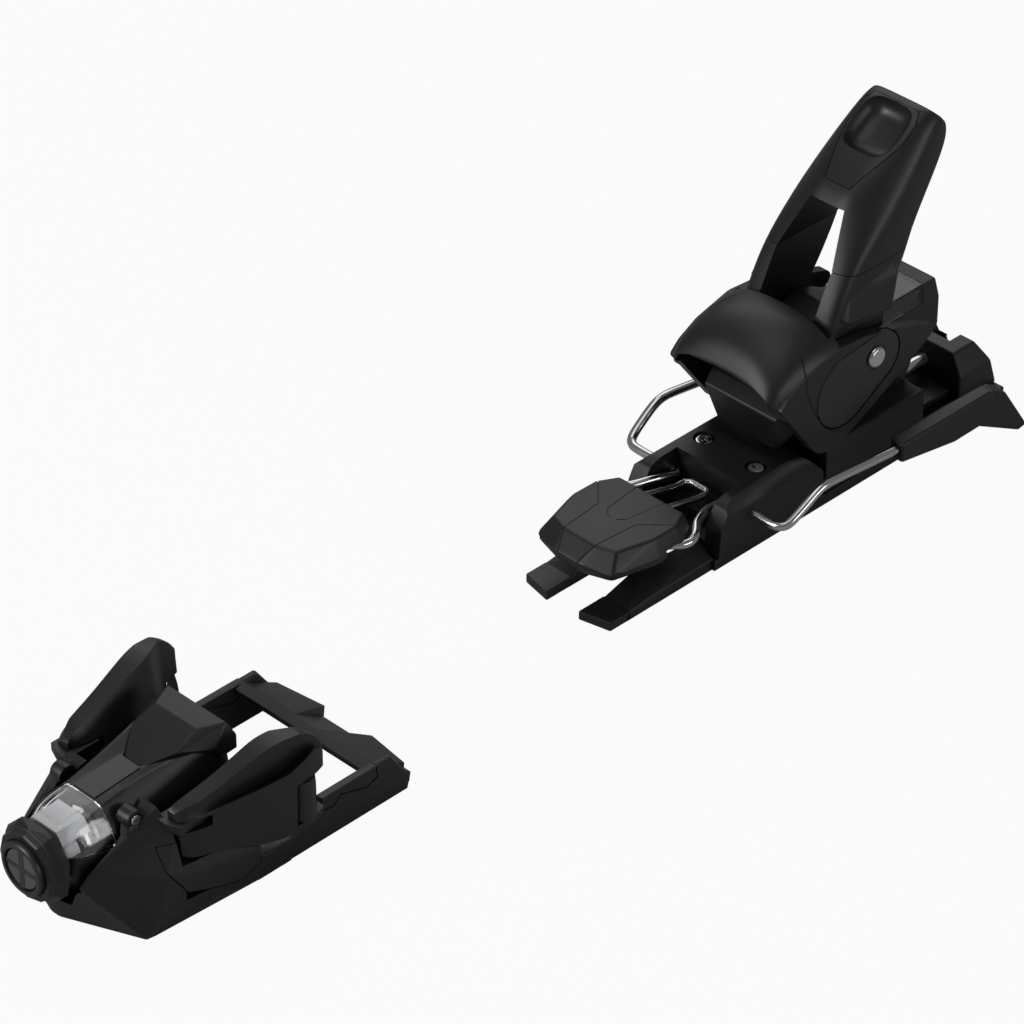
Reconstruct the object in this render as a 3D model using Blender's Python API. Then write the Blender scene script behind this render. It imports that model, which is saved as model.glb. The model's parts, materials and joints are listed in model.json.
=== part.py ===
"""Two-piece alpine ski binding: a toe piece with two sprung wings, and a heel piece with cup, lever and brake.

Metres, +Z up. +X runs from toe to heel along the ski, the ski's top face is Z = 0, and the origin is the
middle of the toe piece's mounting face. The left side is +Y. The binding is closed and its brake is up.
"""
import math

import bmesh
import bpy
from mathutils import Matrix, Vector

# Fits
GAP = 0.0003                 # between pieces that seat on each other
RUN = 0.0004                 # radial clearance of a pin or a screw in its bore

# Toe piece: spring line along X
AXIS_Z = 0.0283              # height of the spring, its screw and the dial
CAP_FRONT_X = -0.0690
CAP_LENGTH = 0.0070
CAP_RADIUS = 0.0160
CAP_FLAT_Z = 0.0440          # flat along the top of the end cap
DIAL_RADIUS = 0.0108
DIAL_LENGTH = 0.0070
DIAL_PROUD = 0.0022          # how far the dial stands out of the end cap
DIAL_RIB = 0.0026            # width of the cross of ribs on the dial
SCREW_RADIUS = 0.0033
SCREW_END_X = -0.0310
LENS_LENGTH = 0.0203
LENS_WALL = 0.0018
LENS_LOW_Z = 0.0320          # the lens sits on the housing at this height
SPRING_BORE = 0.0112
SPRING_WIRE = 0.0026
SPRING_TURNS = 4
SPRING_SEAT_X = -0.0300      # front face of the wall that the spring presses on
SEAT_WALL = 0.0040
NUT_LENGTH = 0.0060
NUT_FRONT_X = -0.0580
FLAG_LENGTH = 0.0125         # pale indicator block on top of the spring nut
FLAG_HALF_WIDTH = 0.0065
HOUSING_REAR_X = 0.0145
CHAMBER_END_X = 0.0030       # rear wall of the chamber that the crosshead slides in
COVER_SEAT_Z = 0.0440

# Toe piece: base on the ski
BASE_TOP_Z = 0.0100
BASE_HALF_WIDTH = 0.0370
BASE_FRONT_X = -0.0570
SLAB_END_X = 0.0220
RAIL_WIDTH = 0.0034
RAIL_END_X = 0.0800
LOOP_TOP_Z = 0.0194
LOOP_FRONT_X = 0.0375
STRIP_X = 0.0600             # front edge of the cross strip, at the big opening
STRIP_LENGTH = 0.0042
STRIP_THICKNESS = 0.0032
CROSSBAR_THICKNESS = 0.0034
LUG_X = -0.0355
LUG_Z = 0.0420
LUG_RADIUS = 0.0040
LUG_END_Y = 0.0206
LUG_SCREW_RADIUS = 0.0021
TOE_SCREW_RADIUS = 0.0024    # clearance holes for the ski's mounting screws
TOE_SCREW_X = 0.0160
TOE_SCREW_SPACING_Y = 0.0420

# Toe piece: wings
WING_PIVOT_X = -0.0190
WING_PIVOT_Y = 0.0290
WING_PIN_RADIUS = 0.0022
WING_PIN_LOW_Z = 0.0030
WING_KNUCKLE = 0.0070
WING_LOW_Z = 0.0252
WING_FRONT_Z = 0.0462
TAB_LOW_Z = 0.0374
TAB_HEIGHT = 0.0038
TAB_REACH = 0.0055           # tab behind the pivot
TAB_ROOM_RADIUS = 0.0094
LOBE_HALF_WIDTH = 0.0035
LOBE_INNER_Y = 0.0100
LOBE_LOW_Z = 0.0246
LOBE_HEIGHT = 0.0080
CROSSHEAD_LENGTH = 0.0065
ROLLER_X = 0.0262
ROLLER_Y = 0.0393
ROLLER_RADIUS = 0.0046
ROLLER_LOW_Z = 0.0195
ROLLER_HEIGHT = 0.0178
ROLLER_PIN_RADIUS = 0.0015

# Heel piece: track on the ski
TRACK_FRONT_X = 0.2560
TRACK_END_X = 0.4260
TRACK_HALF_WIDTH = 0.0240
PLATE_HEIGHT = 0.0050
RAIL_NECK_HALF = 0.0120
RAIL_HEAD_HALF = 0.0150
RAIL_NECK_HEIGHT = 0.0025
RAIL_HEAD_HEIGHT = 0.0030
PRONG_TIP_X = 0.1970
PRONG_INNER_Y = 0.0084
PRONG_OUTER_Y = 0.0226
PRONG_TIP_HEIGHT = 0.0042

# Heel piece: brake
BRAKE_X = 0.2750             # pivot of the brake wires
BRAKE_Z = 0.0190
BRACKET_FRONT_X = 0.2620
BRACKET_END_X = 0.3170
BRACKET_TOP_Z = 0.0275
BRACKET_HALF_WIDTH = 0.0250
NOTCH_HALF_WIDTH = 0.0170
NOTCH_END_X = 0.2775
BRACKET_SCREW_X = 0.2893
BRACKET_SCREW_SPACING = 0.0274
BRACKET_SCREW_RADIUS = 0.0024
BRACKET_SCREW_HEAD = 0.0041
BRACKET_SCREW_HEAD_HEIGHT = 0.0030
BRAKE_WIRE_RADIUS = 0.0019
SPRING_WIRE_RADIUS = 0.0013
SPRING_WIRE_HALF = 0.0058
PAD_TOP_Z = 0.0302
FOOT_START_X = 0.3400

# Heel piece: cup, lever and carriage
AXLE_X = 0.3390
AXLE_Z = 0.0628
AXLE_RADIUS = 0.0035
AXLE_HEAD_RADIUS = 0.0048
TOWER_HALF_WIDTH = 0.0136
ARM_INNER_Y = 0.0142
ARM_OUTER_Y = 0.0236
CHEEK_INNER_Y = 0.0243
CHEEK_OUTER_Y = 0.0270           # seat of the oval cover
OVAL_OUTER_Y = 0.0294
CUP_WALL = 0.0032
CARRIAGE_FRONT_X = 0.3190
CARRIAGE_END_X = 0.3760
CARRIAGE_TOP_Z = 0.0276
BLOCK_TOP_Z = 0.0680
BLOCK_END_X = 0.3950
HEEL_AXIS_Z = 0.0515         # height of the heel spring and its screw
HEEL_BORE = 0.0060
HEEL_BORE_END_X = 0.3870
HEEL_SCREW_RADIUS = 0.0026
HEEL_SCREW_HEAD = 0.0043
HEEL_SCREW_HEAD_LENGTH = 0.0034
HEEL_SPRING_WIRE = 0.0020
HEEL_SPRING_TURNS = 6
HEEL_NUT_X = 0.3740
HEEL_NUT_LENGTH = 0.0060
PLUNGER_RADIUS = 0.0055
PLUNGER_LENGTH = 0.0290
CAM_WALL_X = 0.3180
CAM_WALL = 0.0032
WINDOW_FRONT_X = 0.3600
WINDOW_LENGTH = 0.0245
WINDOW_LOW_Z = 0.0590
WINDOW_WALL = 0.0018
LEVER_SEAM_Z = 0.0990
TRACK_SCREW_Z = 0.0175
TRACK_SCREW_RADIUS = 0.0032
TRACK_SCREW_HEAD = 0.0046
REAR_BRACKET_X = 0.4030
REAR_BRACKET_TOP_Z = 0.0260
REAR_BRACKET_HALF = 0.0200
REAR_NOTCH_X = 0.4110
REAR_NOTCH_LENGTH = 0.0100

CAP_REAR_X = CAP_FRONT_X + CAP_LENGTH
NOSE_X = CAP_REAR_X + GAP
LENS_REAR_X = NOSE_X + LENS_LENGTH
RAIL_TOP_Z = PLATE_HEIGHT + RAIL_NECK_HEIGHT + RAIL_HEAD_HEIGHT
LEFT, RIGHT = 1, -1
SIDES = ((LEFT, "left"), (RIGHT, "right"))

for old in list(bpy.data.objects):
    bpy.data.objects.remove(old, do_unlink=True)


def finish(name, colour, roughness, metallic=0.0, alpha=1.0):
    """One plain surface finish."""
    made = bpy.data.materials.new(name)
    made.use_nodes = True
    shader = made.node_tree.nodes["Principled BSDF"]
    shader.inputs["Base Color"].default_value = (*colour, 1.0)
    shader.inputs["Roughness"].default_value = roughness
    shader.inputs["Metallic"].default_value = metallic
    shader.inputs["Alpha"].default_value = alpha
    return made


BLACK = finish("black_satin", (0.016, 0.016, 0.017), 0.45)
GREY_BLACK = finish("dark_grey_satin", (0.03, 0.03, 0.032), 0.4)
STEEL = finish("polished_steel", (0.72, 0.72, 0.7), 0.18, 1.0)
ZINC = finish("zinc_plated_steel", (0.45, 0.45, 0.44), 0.35, 1.0)
PALE = finish("pale_grey_plastic", (0.62, 0.62, 0.62), 0.4)
CLEAR = finish("clear_plastic", (0.8, 0.82, 0.84), 0.08, 0.0, 0.3)


def place(name, bm, surface):
    """Turn a closed bmesh into a named object with its faces outward."""
    bmesh.ops.remove_doubles(bm, verts=bm.verts, dist=1e-6)
    bmesh.ops.recalc_face_normals(bm, faces=bm.faces)
    mesh = bpy.data.meshes.new(name)
    bm.to_mesh(mesh)
    bm.free()
    mesh.materials.append(surface)
    made = bpy.data.objects.new(name, mesh)
    bpy.context.scene.collection.objects.link(made)
    return made


def hull(name, points, surface=BLACK):
    """The convex solid through some corner points."""
    bm = bmesh.new()
    for point in points:
        bm.verts.new(point)
    result = bmesh.ops.convex_hull(bm, input=bm.verts)
    loose = [item for key in ("geom_interior", "geom_unused") for item in result[key]]
    bmesh.ops.delete(bm, geom=list({v for v in loose if isinstance(v, bmesh.types.BMVert)}), context="VERTS")
    bmesh.ops.dissolve_limit(bm, angle_limit=math.radians(0.5), verts=bm.verts, edges=bm.edges)
    return place(name, bm, surface)


def prism(name, outline, axis, low, high, surface=BLACK):
    """An outline in the plane across an axis, extruded along that axis."""
    corner = {"X": lambda u, v: (low, u, v), "Y": lambda u, v: (u, low, v), "Z": lambda u, v: (u, v, low)}[axis]
    step = {"X": (high - low, 0, 0), "Y": (0, high - low, 0), "Z": (0, 0, high - low)}[axis]
    bm = bmesh.new()
    face = bm.faces.new([bm.verts.new(corner(u, v)) for u, v in outline])
    grown = bmesh.ops.extrude_face_region(bm, geom=[face])["geom"]
    bmesh.ops.translate(bm, vec=step, verts=[v for v in grown if isinstance(v, bmesh.types.BMVert)])
    return place(name, bm, surface)


def box(name, low, high, surface=BLACK):
    """A block between two corners."""
    outline = [(low[0], low[1]), (high[0], low[1]), (high[0], high[1]), (low[0], high[1])]
    return prism(name, outline, "Z", low[2], high[2], surface)


def rod(name, start, end, radius, surface=STEEL, sides=20, end_radius=None):
    """A round bar or cone between two points."""
    start, end = Vector(start), Vector(end)
    way = end - start
    turn = Vector((0, 0, 1)).rotation_difference(way).to_matrix().to_4x4()
    bm = bmesh.new()
    bmesh.ops.create_cone(bm, cap_ends=True, segments=sides, radius1=radius,
                          radius2=radius if end_radius is None else end_radius, depth=way.length,
                          matrix=Matrix.Translation((start + end) / 2) @ turn)
    return place(name, bm, surface)


def turned(name, profile, axis_z, surface, sides=32):
    """A closed (x, radius) profile spun round a line along X."""
    bm = bmesh.new()
    ring = [bm.verts.new((x, 0, radius + axis_z)) for x, radius in profile]
    edges = [bm.edges.new(pair) for pair in zip(ring, ring[1:] + ring[:1])]
    bmesh.ops.spin(bm, geom=ring + edges, cent=(0, 0, axis_z), axis=(1, 0, 0), angle=math.tau,
                   steps=sides, use_merge=True)
    return place(name, bm, surface)


def loft(name, sections, surface=BLACK):
    """A skin over sections of equal corner count, capped at both ends."""
    bm = bmesh.new()
    loops = [[bm.verts.new(point) for point in section] for section in sections]
    for near, far in zip(loops, loops[1:]):
        for i, corner in enumerate(near):
            following = (i + 1) % len(near)
            bm.faces.new((corner, near[following], far[following], far[i]))
    bm.faces.new(loops[0])
    bm.faces.new(loops[-1])
    bmesh.ops.triangulate(bm, faces=bm.faces)
    return place(name, bm, surface)


def combine(target, operation, *others):
    """Apply a Boolean with other solids, which are used up."""
    surface = target.data.materials[0]
    for other in others:
        step = target.modifiers.new("boolean", "BOOLEAN")
        step.operation = operation
        step.object = other
        step.solver = "EXACT"
    bpy.context.view_layer.update()
    result = bpy.data.meshes.new_from_object(target.evaluated_get(bpy.context.evaluated_depsgraph_get()))
    target.modifiers.clear()
    target.data = result
    for other in others:
        bpy.data.objects.remove(other, do_unlink=True)
    bm = bmesh.new()
    bm.from_mesh(result)
    bmesh.ops.remove_doubles(bm, verts=bm.verts, dist=2e-6)
    bmesh.ops.dissolve_degenerate(bm, dist=2e-6, edges=bm.edges)
    for face in bm.faces:
        face.material_index = 0
    bm.to_mesh(result)
    bm.free()
    result.materials.clear()
    result.materials.append(surface)
    return target


def cut(target, *cutters):
    return combine(target, "DIFFERENCE", *cutters)


def join(target, *others):
    return combine(target, "UNION", *others)


def smooth_path(points, steps):
    """Points on a smooth curve through a hand-chosen route."""
    route = [Vector(p) for p in points]
    route = [2 * route[0] - route[1]] + route + [2 * route[-1] - route[-2]]
    path = []
    for a, b, c, d in zip(route, route[1:], route[2:], route[3:]):
        for i in range(steps):
            t = i / steps
            path.append(0.5 * (2 * b + (c - a) * t + (2 * a - 5 * b + 4 * c - d) * t ** 2
                               + (3 * b - a - 3 * c + d) * t ** 3))
    return path + [route[-2]]


def wire(name, path, radius, surface=STEEL, roundness=2):
    """A round wire along a path, with flat ends."""
    curve = bpy.data.curves.new(name, "CURVE")
    curve.dimensions = "3D"
    curve.bevel_depth = radius
    curve.bevel_resolution = roundness
    curve.use_fill_caps = True
    spline = curve.splines.new("POLY")
    spline.points.add(len(path) - 1)
    for point, place_at in zip(spline.points, path):
        point.co = (*place_at, 1.0)
    curve.materials.append(surface)
    made = bpy.data.objects.new(name, curve)
    bpy.context.scene.collection.objects.link(made)
    return made


def both(points):
    """Corner points and their mirror images across the middle plane."""
    return list(points) + [(x, -y, z) for x, y, z in points]


def flip(outline, side):
    """An (x, y) outline on the chosen side."""
    return [(x, side * y) for x, y in outline]


def grown(outline, distance):
    """A convex outline with each edge moved outward."""
    area = sum(a[0] * b[1] - b[0] * a[1] for a, b in zip(outline, outline[1:] + outline[:1]))
    turn = 1 if area > 0 else -1
    result = []
    for before, here, after in zip(outline[-1:] + outline[:-1], outline, outline[1:] + outline[:1]):
        first = Vector((here[1] - before[1], before[0] - here[0])).normalized() * turn
        second = Vector((after[1] - here[1], here[0] - after[0])).normalized() * turn
        corner = first + second
        corner *= distance / max(corner.dot(first), 1e-9)
        result.append((here[0] + corner.x, here[1] + corner.y))
    return result


def hang(body, pivot, *objects):
    """Hang a moving body's pieces on an empty that sits on its joint."""
    empty = bpy.data.objects.new(body, None)
    empty.location = pivot
    bpy.context.scene.collection.objects.link(empty)
    for piece in objects:
        piece.parent = empty
        piece.matrix_parent_inverse = Matrix.Translation(Vector(pivot)).inverted()
    return empty


def coil_gap(path, wire_radius, turn_points):
    """Least clear distance between turns of a coil, on its points."""
    least = 1.0
    for i, here in enumerate(path):
        for there in path[i + turn_points // 2:]:
            least = min(least, (here - there).length)
    return least - 2 * wire_radius


def coil(name, start_x, end_x, axis_z, mean_radius, wire_radius, turns, surface=STEEL):
    """A compression spring along X, as one unbroken wire."""
    turn_points = 10
    count = turns * turn_points
    path = []
    for i in range(count + 1):
        angle = math.tau * i / turn_points
        x = start_x + wire_radius + (end_x - start_x - 2 * wire_radius) * i / count
        path.append(Vector((x, mean_radius * math.sin(angle), axis_z + mean_radius * math.cos(angle))))
    print(name, "least gap between turns: %.2f mm" % (1000 * coil_gap(path, wire_radius, turn_points)))
    return wire(name, path, wire_radius, surface, roundness=1)


# Toe housing

def nose_sections(offset, front=NOSE_X, rear=HOUSING_REAR_X):
    """Half sections (y, z) of the toe housing, top to bottom, moved out by an offset."""
    stations = (
        (front, ((0.0082, 0.0440), (0.0126, 0.0404), (0.0158, 0.0310), (0.0154, 0.0220), (0.0090, 0.0132))),
        (LENS_REAR_X, ((0.0058, 0.0461), (0.0084, 0.0456), (0.0176, 0.0345), (0.0180, 0.0215),
                       (0.0120, BASE_TOP_Z + GAP))),
        (-0.0080, ((0.0058, 0.0480), (0.0119, 0.0512), (0.0194, 0.0400), (0.0192, 0.0190),
                   (0.0140, BASE_TOP_Z + GAP))),
        (0.0055, ((0.0058, 0.0480), (0.0184, 0.0490), (0.0200, 0.0405), (0.0196, 0.0190),
                  (0.0140, BASE_TOP_Z + GAP))),
        (rear, ((0.0058, 0.0470), (0.0180, 0.0482), (0.0195, 0.0395), (0.0192, 0.0190),
                (0.0140, BASE_TOP_Z + GAP))),
    )
    sections = []
    for x, half in stations:
        moved = []
        for y, z in half:
            out = Vector((y, z - AXIS_Z)).normalized() * offset
            moved.append((y + out.x, z + out.y))
        sections.append([(x, y, z) for y, z in moved] + [(x, -y, z) for y, z in reversed(moved)])
    return sections


def lens_zone(name, margin):
    """The block of space that the lens takes out of the housing."""
    return box(name, (NOSE_X - 0.01, -0.04, LENS_LOW_Z - margin), (LENS_REAR_X + margin, 0.04, 0.08))


COVER_OUTLINE = [(-0.0187, 0.0041), (-0.0081, 0.0117), (0.0050, 0.0181), (0.0155, 0.0175)]
COVER_OUTLINE += [(x, -y) for x, y in reversed(COVER_OUTLINE)]


def toe_housing():
    housing = loft("toe_housing", nose_sections(0))
    bore = rod("bore", (NOSE_X - 0.01, 0, AXIS_Z), (SPRING_SEAT_X, 0, AXIS_Z), SPRING_BORE, sides=28)
    shaft = rod("shaft", (SPRING_SEAT_X - 0.002, 0, AXIS_Z), (0, 0, AXIS_Z), SCREW_RADIUS + 0.0030)
    lobe_mid = LOBE_LOW_Z + LOBE_HEIGHT / 2
    half = LOBE_HEIGHT / 2 + 0.0022
    chamber = box("chamber", (SPRING_SEAT_X + SEAT_WALL, -0.04, lobe_mid - half),
                  (CHAMBER_END_X, 0.04, lobe_mid + half))
    cover = prism("cover_room", grown(COVER_OUTLINE, GAP), "Z", COVER_SEAT_Z - GAP, 0.08)
    rear = box("rear_room", (HOUSING_REAR_X - 0.002, -0.006, COVER_SEAT_Z - GAP), (0.03, 0.006, 0.08))
    return cut(housing, lens_zone("lens_room", GAP), bore, shaft, chamber, cover, rear)


def toe_lens():
    front, rear = nose_sections(0)[:2]
    lens = hull("toe_lens", front + rear, CLEAR)
    inner = hull("inner", [(x + step, y, z) for section, step in zip(nose_sections(-LENS_WALL), (-0.002, 0.002))
                           for x, y, z in section])
    lower = box("lower", (NOSE_X - 0.01, -0.04, 0), (LENS_REAR_X + 0.01, 0.04, LENS_LOW_Z))
    return cut(cut(lens, inner), lower)


def toe_top_cover():
    top = [(-0.0187, 0.0041, 0.0466), (-0.0081, 0.0117, 0.0514), (0.0027, 0.0107, 0.0557),
           (0.0126, 0.0153, 0.0558), (0.0050, 0.0181, 0.0492), (0.0155, 0.0175, 0.0500)]
    seat = [(x, y, COVER_SEAT_Z) for x, y in COVER_OUTLINE]
    return hull("toe_top_cover", both(top) + seat)


def toe_end_cap():
    bore = DIAL_RADIUS + GAP
    floor = CAP_FRONT_X - DIAL_PROUD + DIAL_LENGTH + GAP
    shaft = SCREW_RADIUS + RUN
    cap = turned("toe_end_cap", [(CAP_REAR_X, shaft), (floor, shaft), (floor, bore), (CAP_FRONT_X, bore),
                                 (CAP_FRONT_X, CAP_RADIUS - 0.0025), (CAP_FRONT_X + 0.0040, CAP_RADIUS),
                                 (CAP_REAR_X, CAP_RADIUS)], AXIS_Z, BLACK)
    return cut(cap, box("flat", (CAP_FRONT_X - 0.01, -0.03, CAP_FLAT_Z), (CAP_REAR_X + 0.01, 0.03, 0.07)))


def toe_dial():
    front = CAP_FRONT_X - DIAL_PROUD
    rear = front + DIAL_LENGTH
    bore = SCREW_RADIUS + GAP
    face = front + 0.0030
    dial = turned("toe_dial", [(front, 0), (front, DIAL_RADIUS - 0.0008), (front + 0.0008, DIAL_RADIUS),
                               (rear, DIAL_RADIUS), (rear, bore), (face, bore), (face, 0)], AXIS_Z, GREY_BLACK)
    pockets = rod("pockets", (front - 0.002, 0, AXIS_Z), (front + 0.0012, 0, AXIS_Z), DIAL_RADIUS - 0.0022, sides=32)
    reach = DIAL_RADIUS
    rib = DIAL_RIB / 2
    ribs = [box("rib", (front - 0.003, -rib, AXIS_Z - reach), (front + 0.003, rib, AXIS_Z + reach)),
            box("rib", (front - 0.003, -reach, AXIS_Z - rib), (front + 0.003, reach, AXIS_Z + rib))]
    return cut(dial, cut(pockets, *ribs))


def toe_adjusting_screw():
    return rod("toe_adjusting_screw", (CAP_FRONT_X - DIAL_PROUD + 0.0030 + GAP, 0, AXIS_Z),
               (SCREW_END_X, 0, AXIS_Z), SCREW_RADIUS, ZINC)


def toe_spring_nut():
    radius = SPRING_BORE - 0.0005
    bore = SCREW_RADIUS + RUN
    nut = turned("toe_spring_nut", [(NUT_FRONT_X, bore), (NUT_FRONT_X, radius), (NUT_FRONT_X + NUT_LENGTH, radius),
                                    (NUT_FRONT_X + NUT_LENGTH, bore)], AXIS_Z, PALE, sides=28)
    low = AXIS_Z + radius - 0.0016
    flag = hull("flag", [(x, y, z) for x in (NUT_FRONT_X - 0.0014, NUT_FRONT_X - 0.0014 + FLAG_LENGTH)
                         for z, half in ((low, FLAG_HALF_WIDTH + 0.003), (AXIS_Z + 0.0137, FLAG_HALF_WIDTH))
                         for y in (-half, half)])
    relief = rod("relief", (NUT_FRONT_X + NUT_LENGTH, 0, AXIS_Z), (NUT_FRONT_X + 0.03, 0, AXIS_Z),
                 SPRING_BORE, sides=28)
    return join(nut, cut(flag, relief))


def toe_tie_rod():
    """Crosshead behind the left wing's lobe, with the sleeve that the screw pulls on."""
    front = WING_PIVOT_X + LOBE_HALF_WIDTH + GAP
    head = box("toe_tie_rod", (front, -0.005, LOBE_LOW_Z), (front + CROSSHEAD_LENGTH, 0.016, LOBE_LOW_Z + LOBE_HEIGHT),
               ZINC)
    sleeve = rod("sleeve", (SPRING_SEAT_X - 0.0060, 0, AXIS_Z), (front + 0.001, 0, AXIS_Z), SCREW_RADIUS + 0.0020)
    bore = rod("bore", (SPRING_SEAT_X - 0.01, 0, AXIS_Z), (front - 0.0020, 0, AXIS_Z), SCREW_RADIUS + RUN)
    return cut(join(head, sleeve), bore)


# Toe base

def skirt(name, offset=0.0):
    """The faceted prow and side skirts, as one convex solid."""
    half = [(-0.0610, 0.0175, 0.0250), (-0.0330, 0.0205, 0.0405), (-0.0245, 0.0225, 0.0455), (-0.0240, 0.0300, 0.0400),
            (-0.0330, 0.0345, 0.0245), (-0.0200, BASE_HALF_WIDTH, 0.0200), (0.0090, BASE_HALF_WIDTH, 0),
            (0.0090, BASE_HALF_WIDTH + 0.0010, 0.0150), (-0.0594, 0.0020, 0.0084), (BASE_FRONT_X, 0.0020, 0),
            (-0.0457, 0.0225, 0), (-0.0436, 0.0338, 0)]
    return hull(name, both(half))


SIDE_COVER = [(-0.0335, 0.0330), (-0.0330, 0.0243), (-0.0260, 0.0132), (-0.0030, 0.0058), (0.0070, 0.0078),
              (0.0070, 0.0158), (-0.0030, 0.0198), (-0.0100, 0.0226), (-0.0190, 0.0240), (-0.0268, 0.0242),
              (-0.0268, 0.0330)]
SIDE_COVER_INNER_Y = 0.0280
LOOP_ARM = [(LOOP_FRONT_X, LOOP_TOP_Z), (LOOP_FRONT_X, 0.0138), (0.0430, 0.0132), (0.0466, 0.0164),
            (0.0593, 0.0124), (0.0650, 0.0144), (STRIP_X + STRIP_LENGTH, 0.0164),
            (STRIP_X + STRIP_LENGTH, LOOP_TOP_Z)]


def cover_room(name, side, gap):
    """Space of a side cover between its inner face and the outside."""
    near, far = sorted((side * (SIDE_COVER_INNER_Y - gap), side * 0.05))
    outline = SIDE_COVER
    if gap:
        front, rear, high = SIDE_COVER[0], SIDE_COVER[4], 0.0300
        outline = [(front[0] - gap, front[1] + gap)] + [(x - gap, z - gap) for x, z in SIDE_COVER[1:4]]
        outline += [(rear[0] + gap, rear[1] - gap), (rear[0] + gap, high), (-0.0260, high), (-0.0260, front[1] + gap)]
    return prism(name, outline, "Y", near, far)


def pin_room(side):
    """Space of a wing's pin, from its seat in the base upward."""
    at = (WING_PIVOT_X, side * WING_PIVOT_Y)
    return rod("pin_room", (*at, WING_PIN_LOW_Z - GAP), (*at, 0.06), WING_PIN_RADIUS + RUN)


def side_cover(side, word):
    cover = combine(skirt(word + "_side_cover"), "INTERSECT", cover_room("room", side, 0))
    return cut(cover, pin_room(side))


def pin_tab(side):
    """The base's tab that holds the upper end of a wing's pin."""
    inner, outer = WING_PIVOT_Y - 0.0060, WING_PIVOT_Y + 0.0052
    outline = [(-0.0290, inner), (WING_PIVOT_X + TAB_REACH, inner), (WING_PIVOT_X + TAB_REACH, outer),
               (-0.0268, outer), (-0.0290, WING_PIVOT_Y)]
    return prism("tab", flip(outline, side), "Z", TAB_LOW_Z, TAB_LOW_Z + TAB_HEIGHT)


def toe_loop_frame():
    """Arms on the rails and the strip across the opening's rear edge."""
    outer = BASE_HALF_WIDTH
    frame = box("toe_loop_frame", (STRIP_X, -outer, LOOP_TOP_Z - STRIP_THICKNESS),
                (STRIP_X + STRIP_LENGTH, outer, LOOP_TOP_Z))
    inner = outer - RAIL_WIDTH
    return join(frame, *(prism("arm", LOOP_ARM, "Y", *sorted((side * inner, side * outer))) for side, _ in SIDES))


def lug(side):
    """A short round finger that rises from the skirt and carries a small screw."""
    ring = [(LUG_X + LUG_RADIUS * math.cos(math.tau * i / 16), LUG_Z + LUG_RADIUS * math.sin(math.tau * i / 16))
            for i in range(16)]
    points = [(x, y, z) for x, z in ring for y in (LUG_END_Y - 0.0056, LUG_END_Y)]
    points += [(-0.0430, 0.0190, 0.0290), (-0.0420, 0.0240, 0.0285), (-0.0305, 0.0250, 0.0345), (-0.0300, 0.0200, 0.0370)]
    return hull("lug", [(x, side * y, z) for x, y, z in points])


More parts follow.
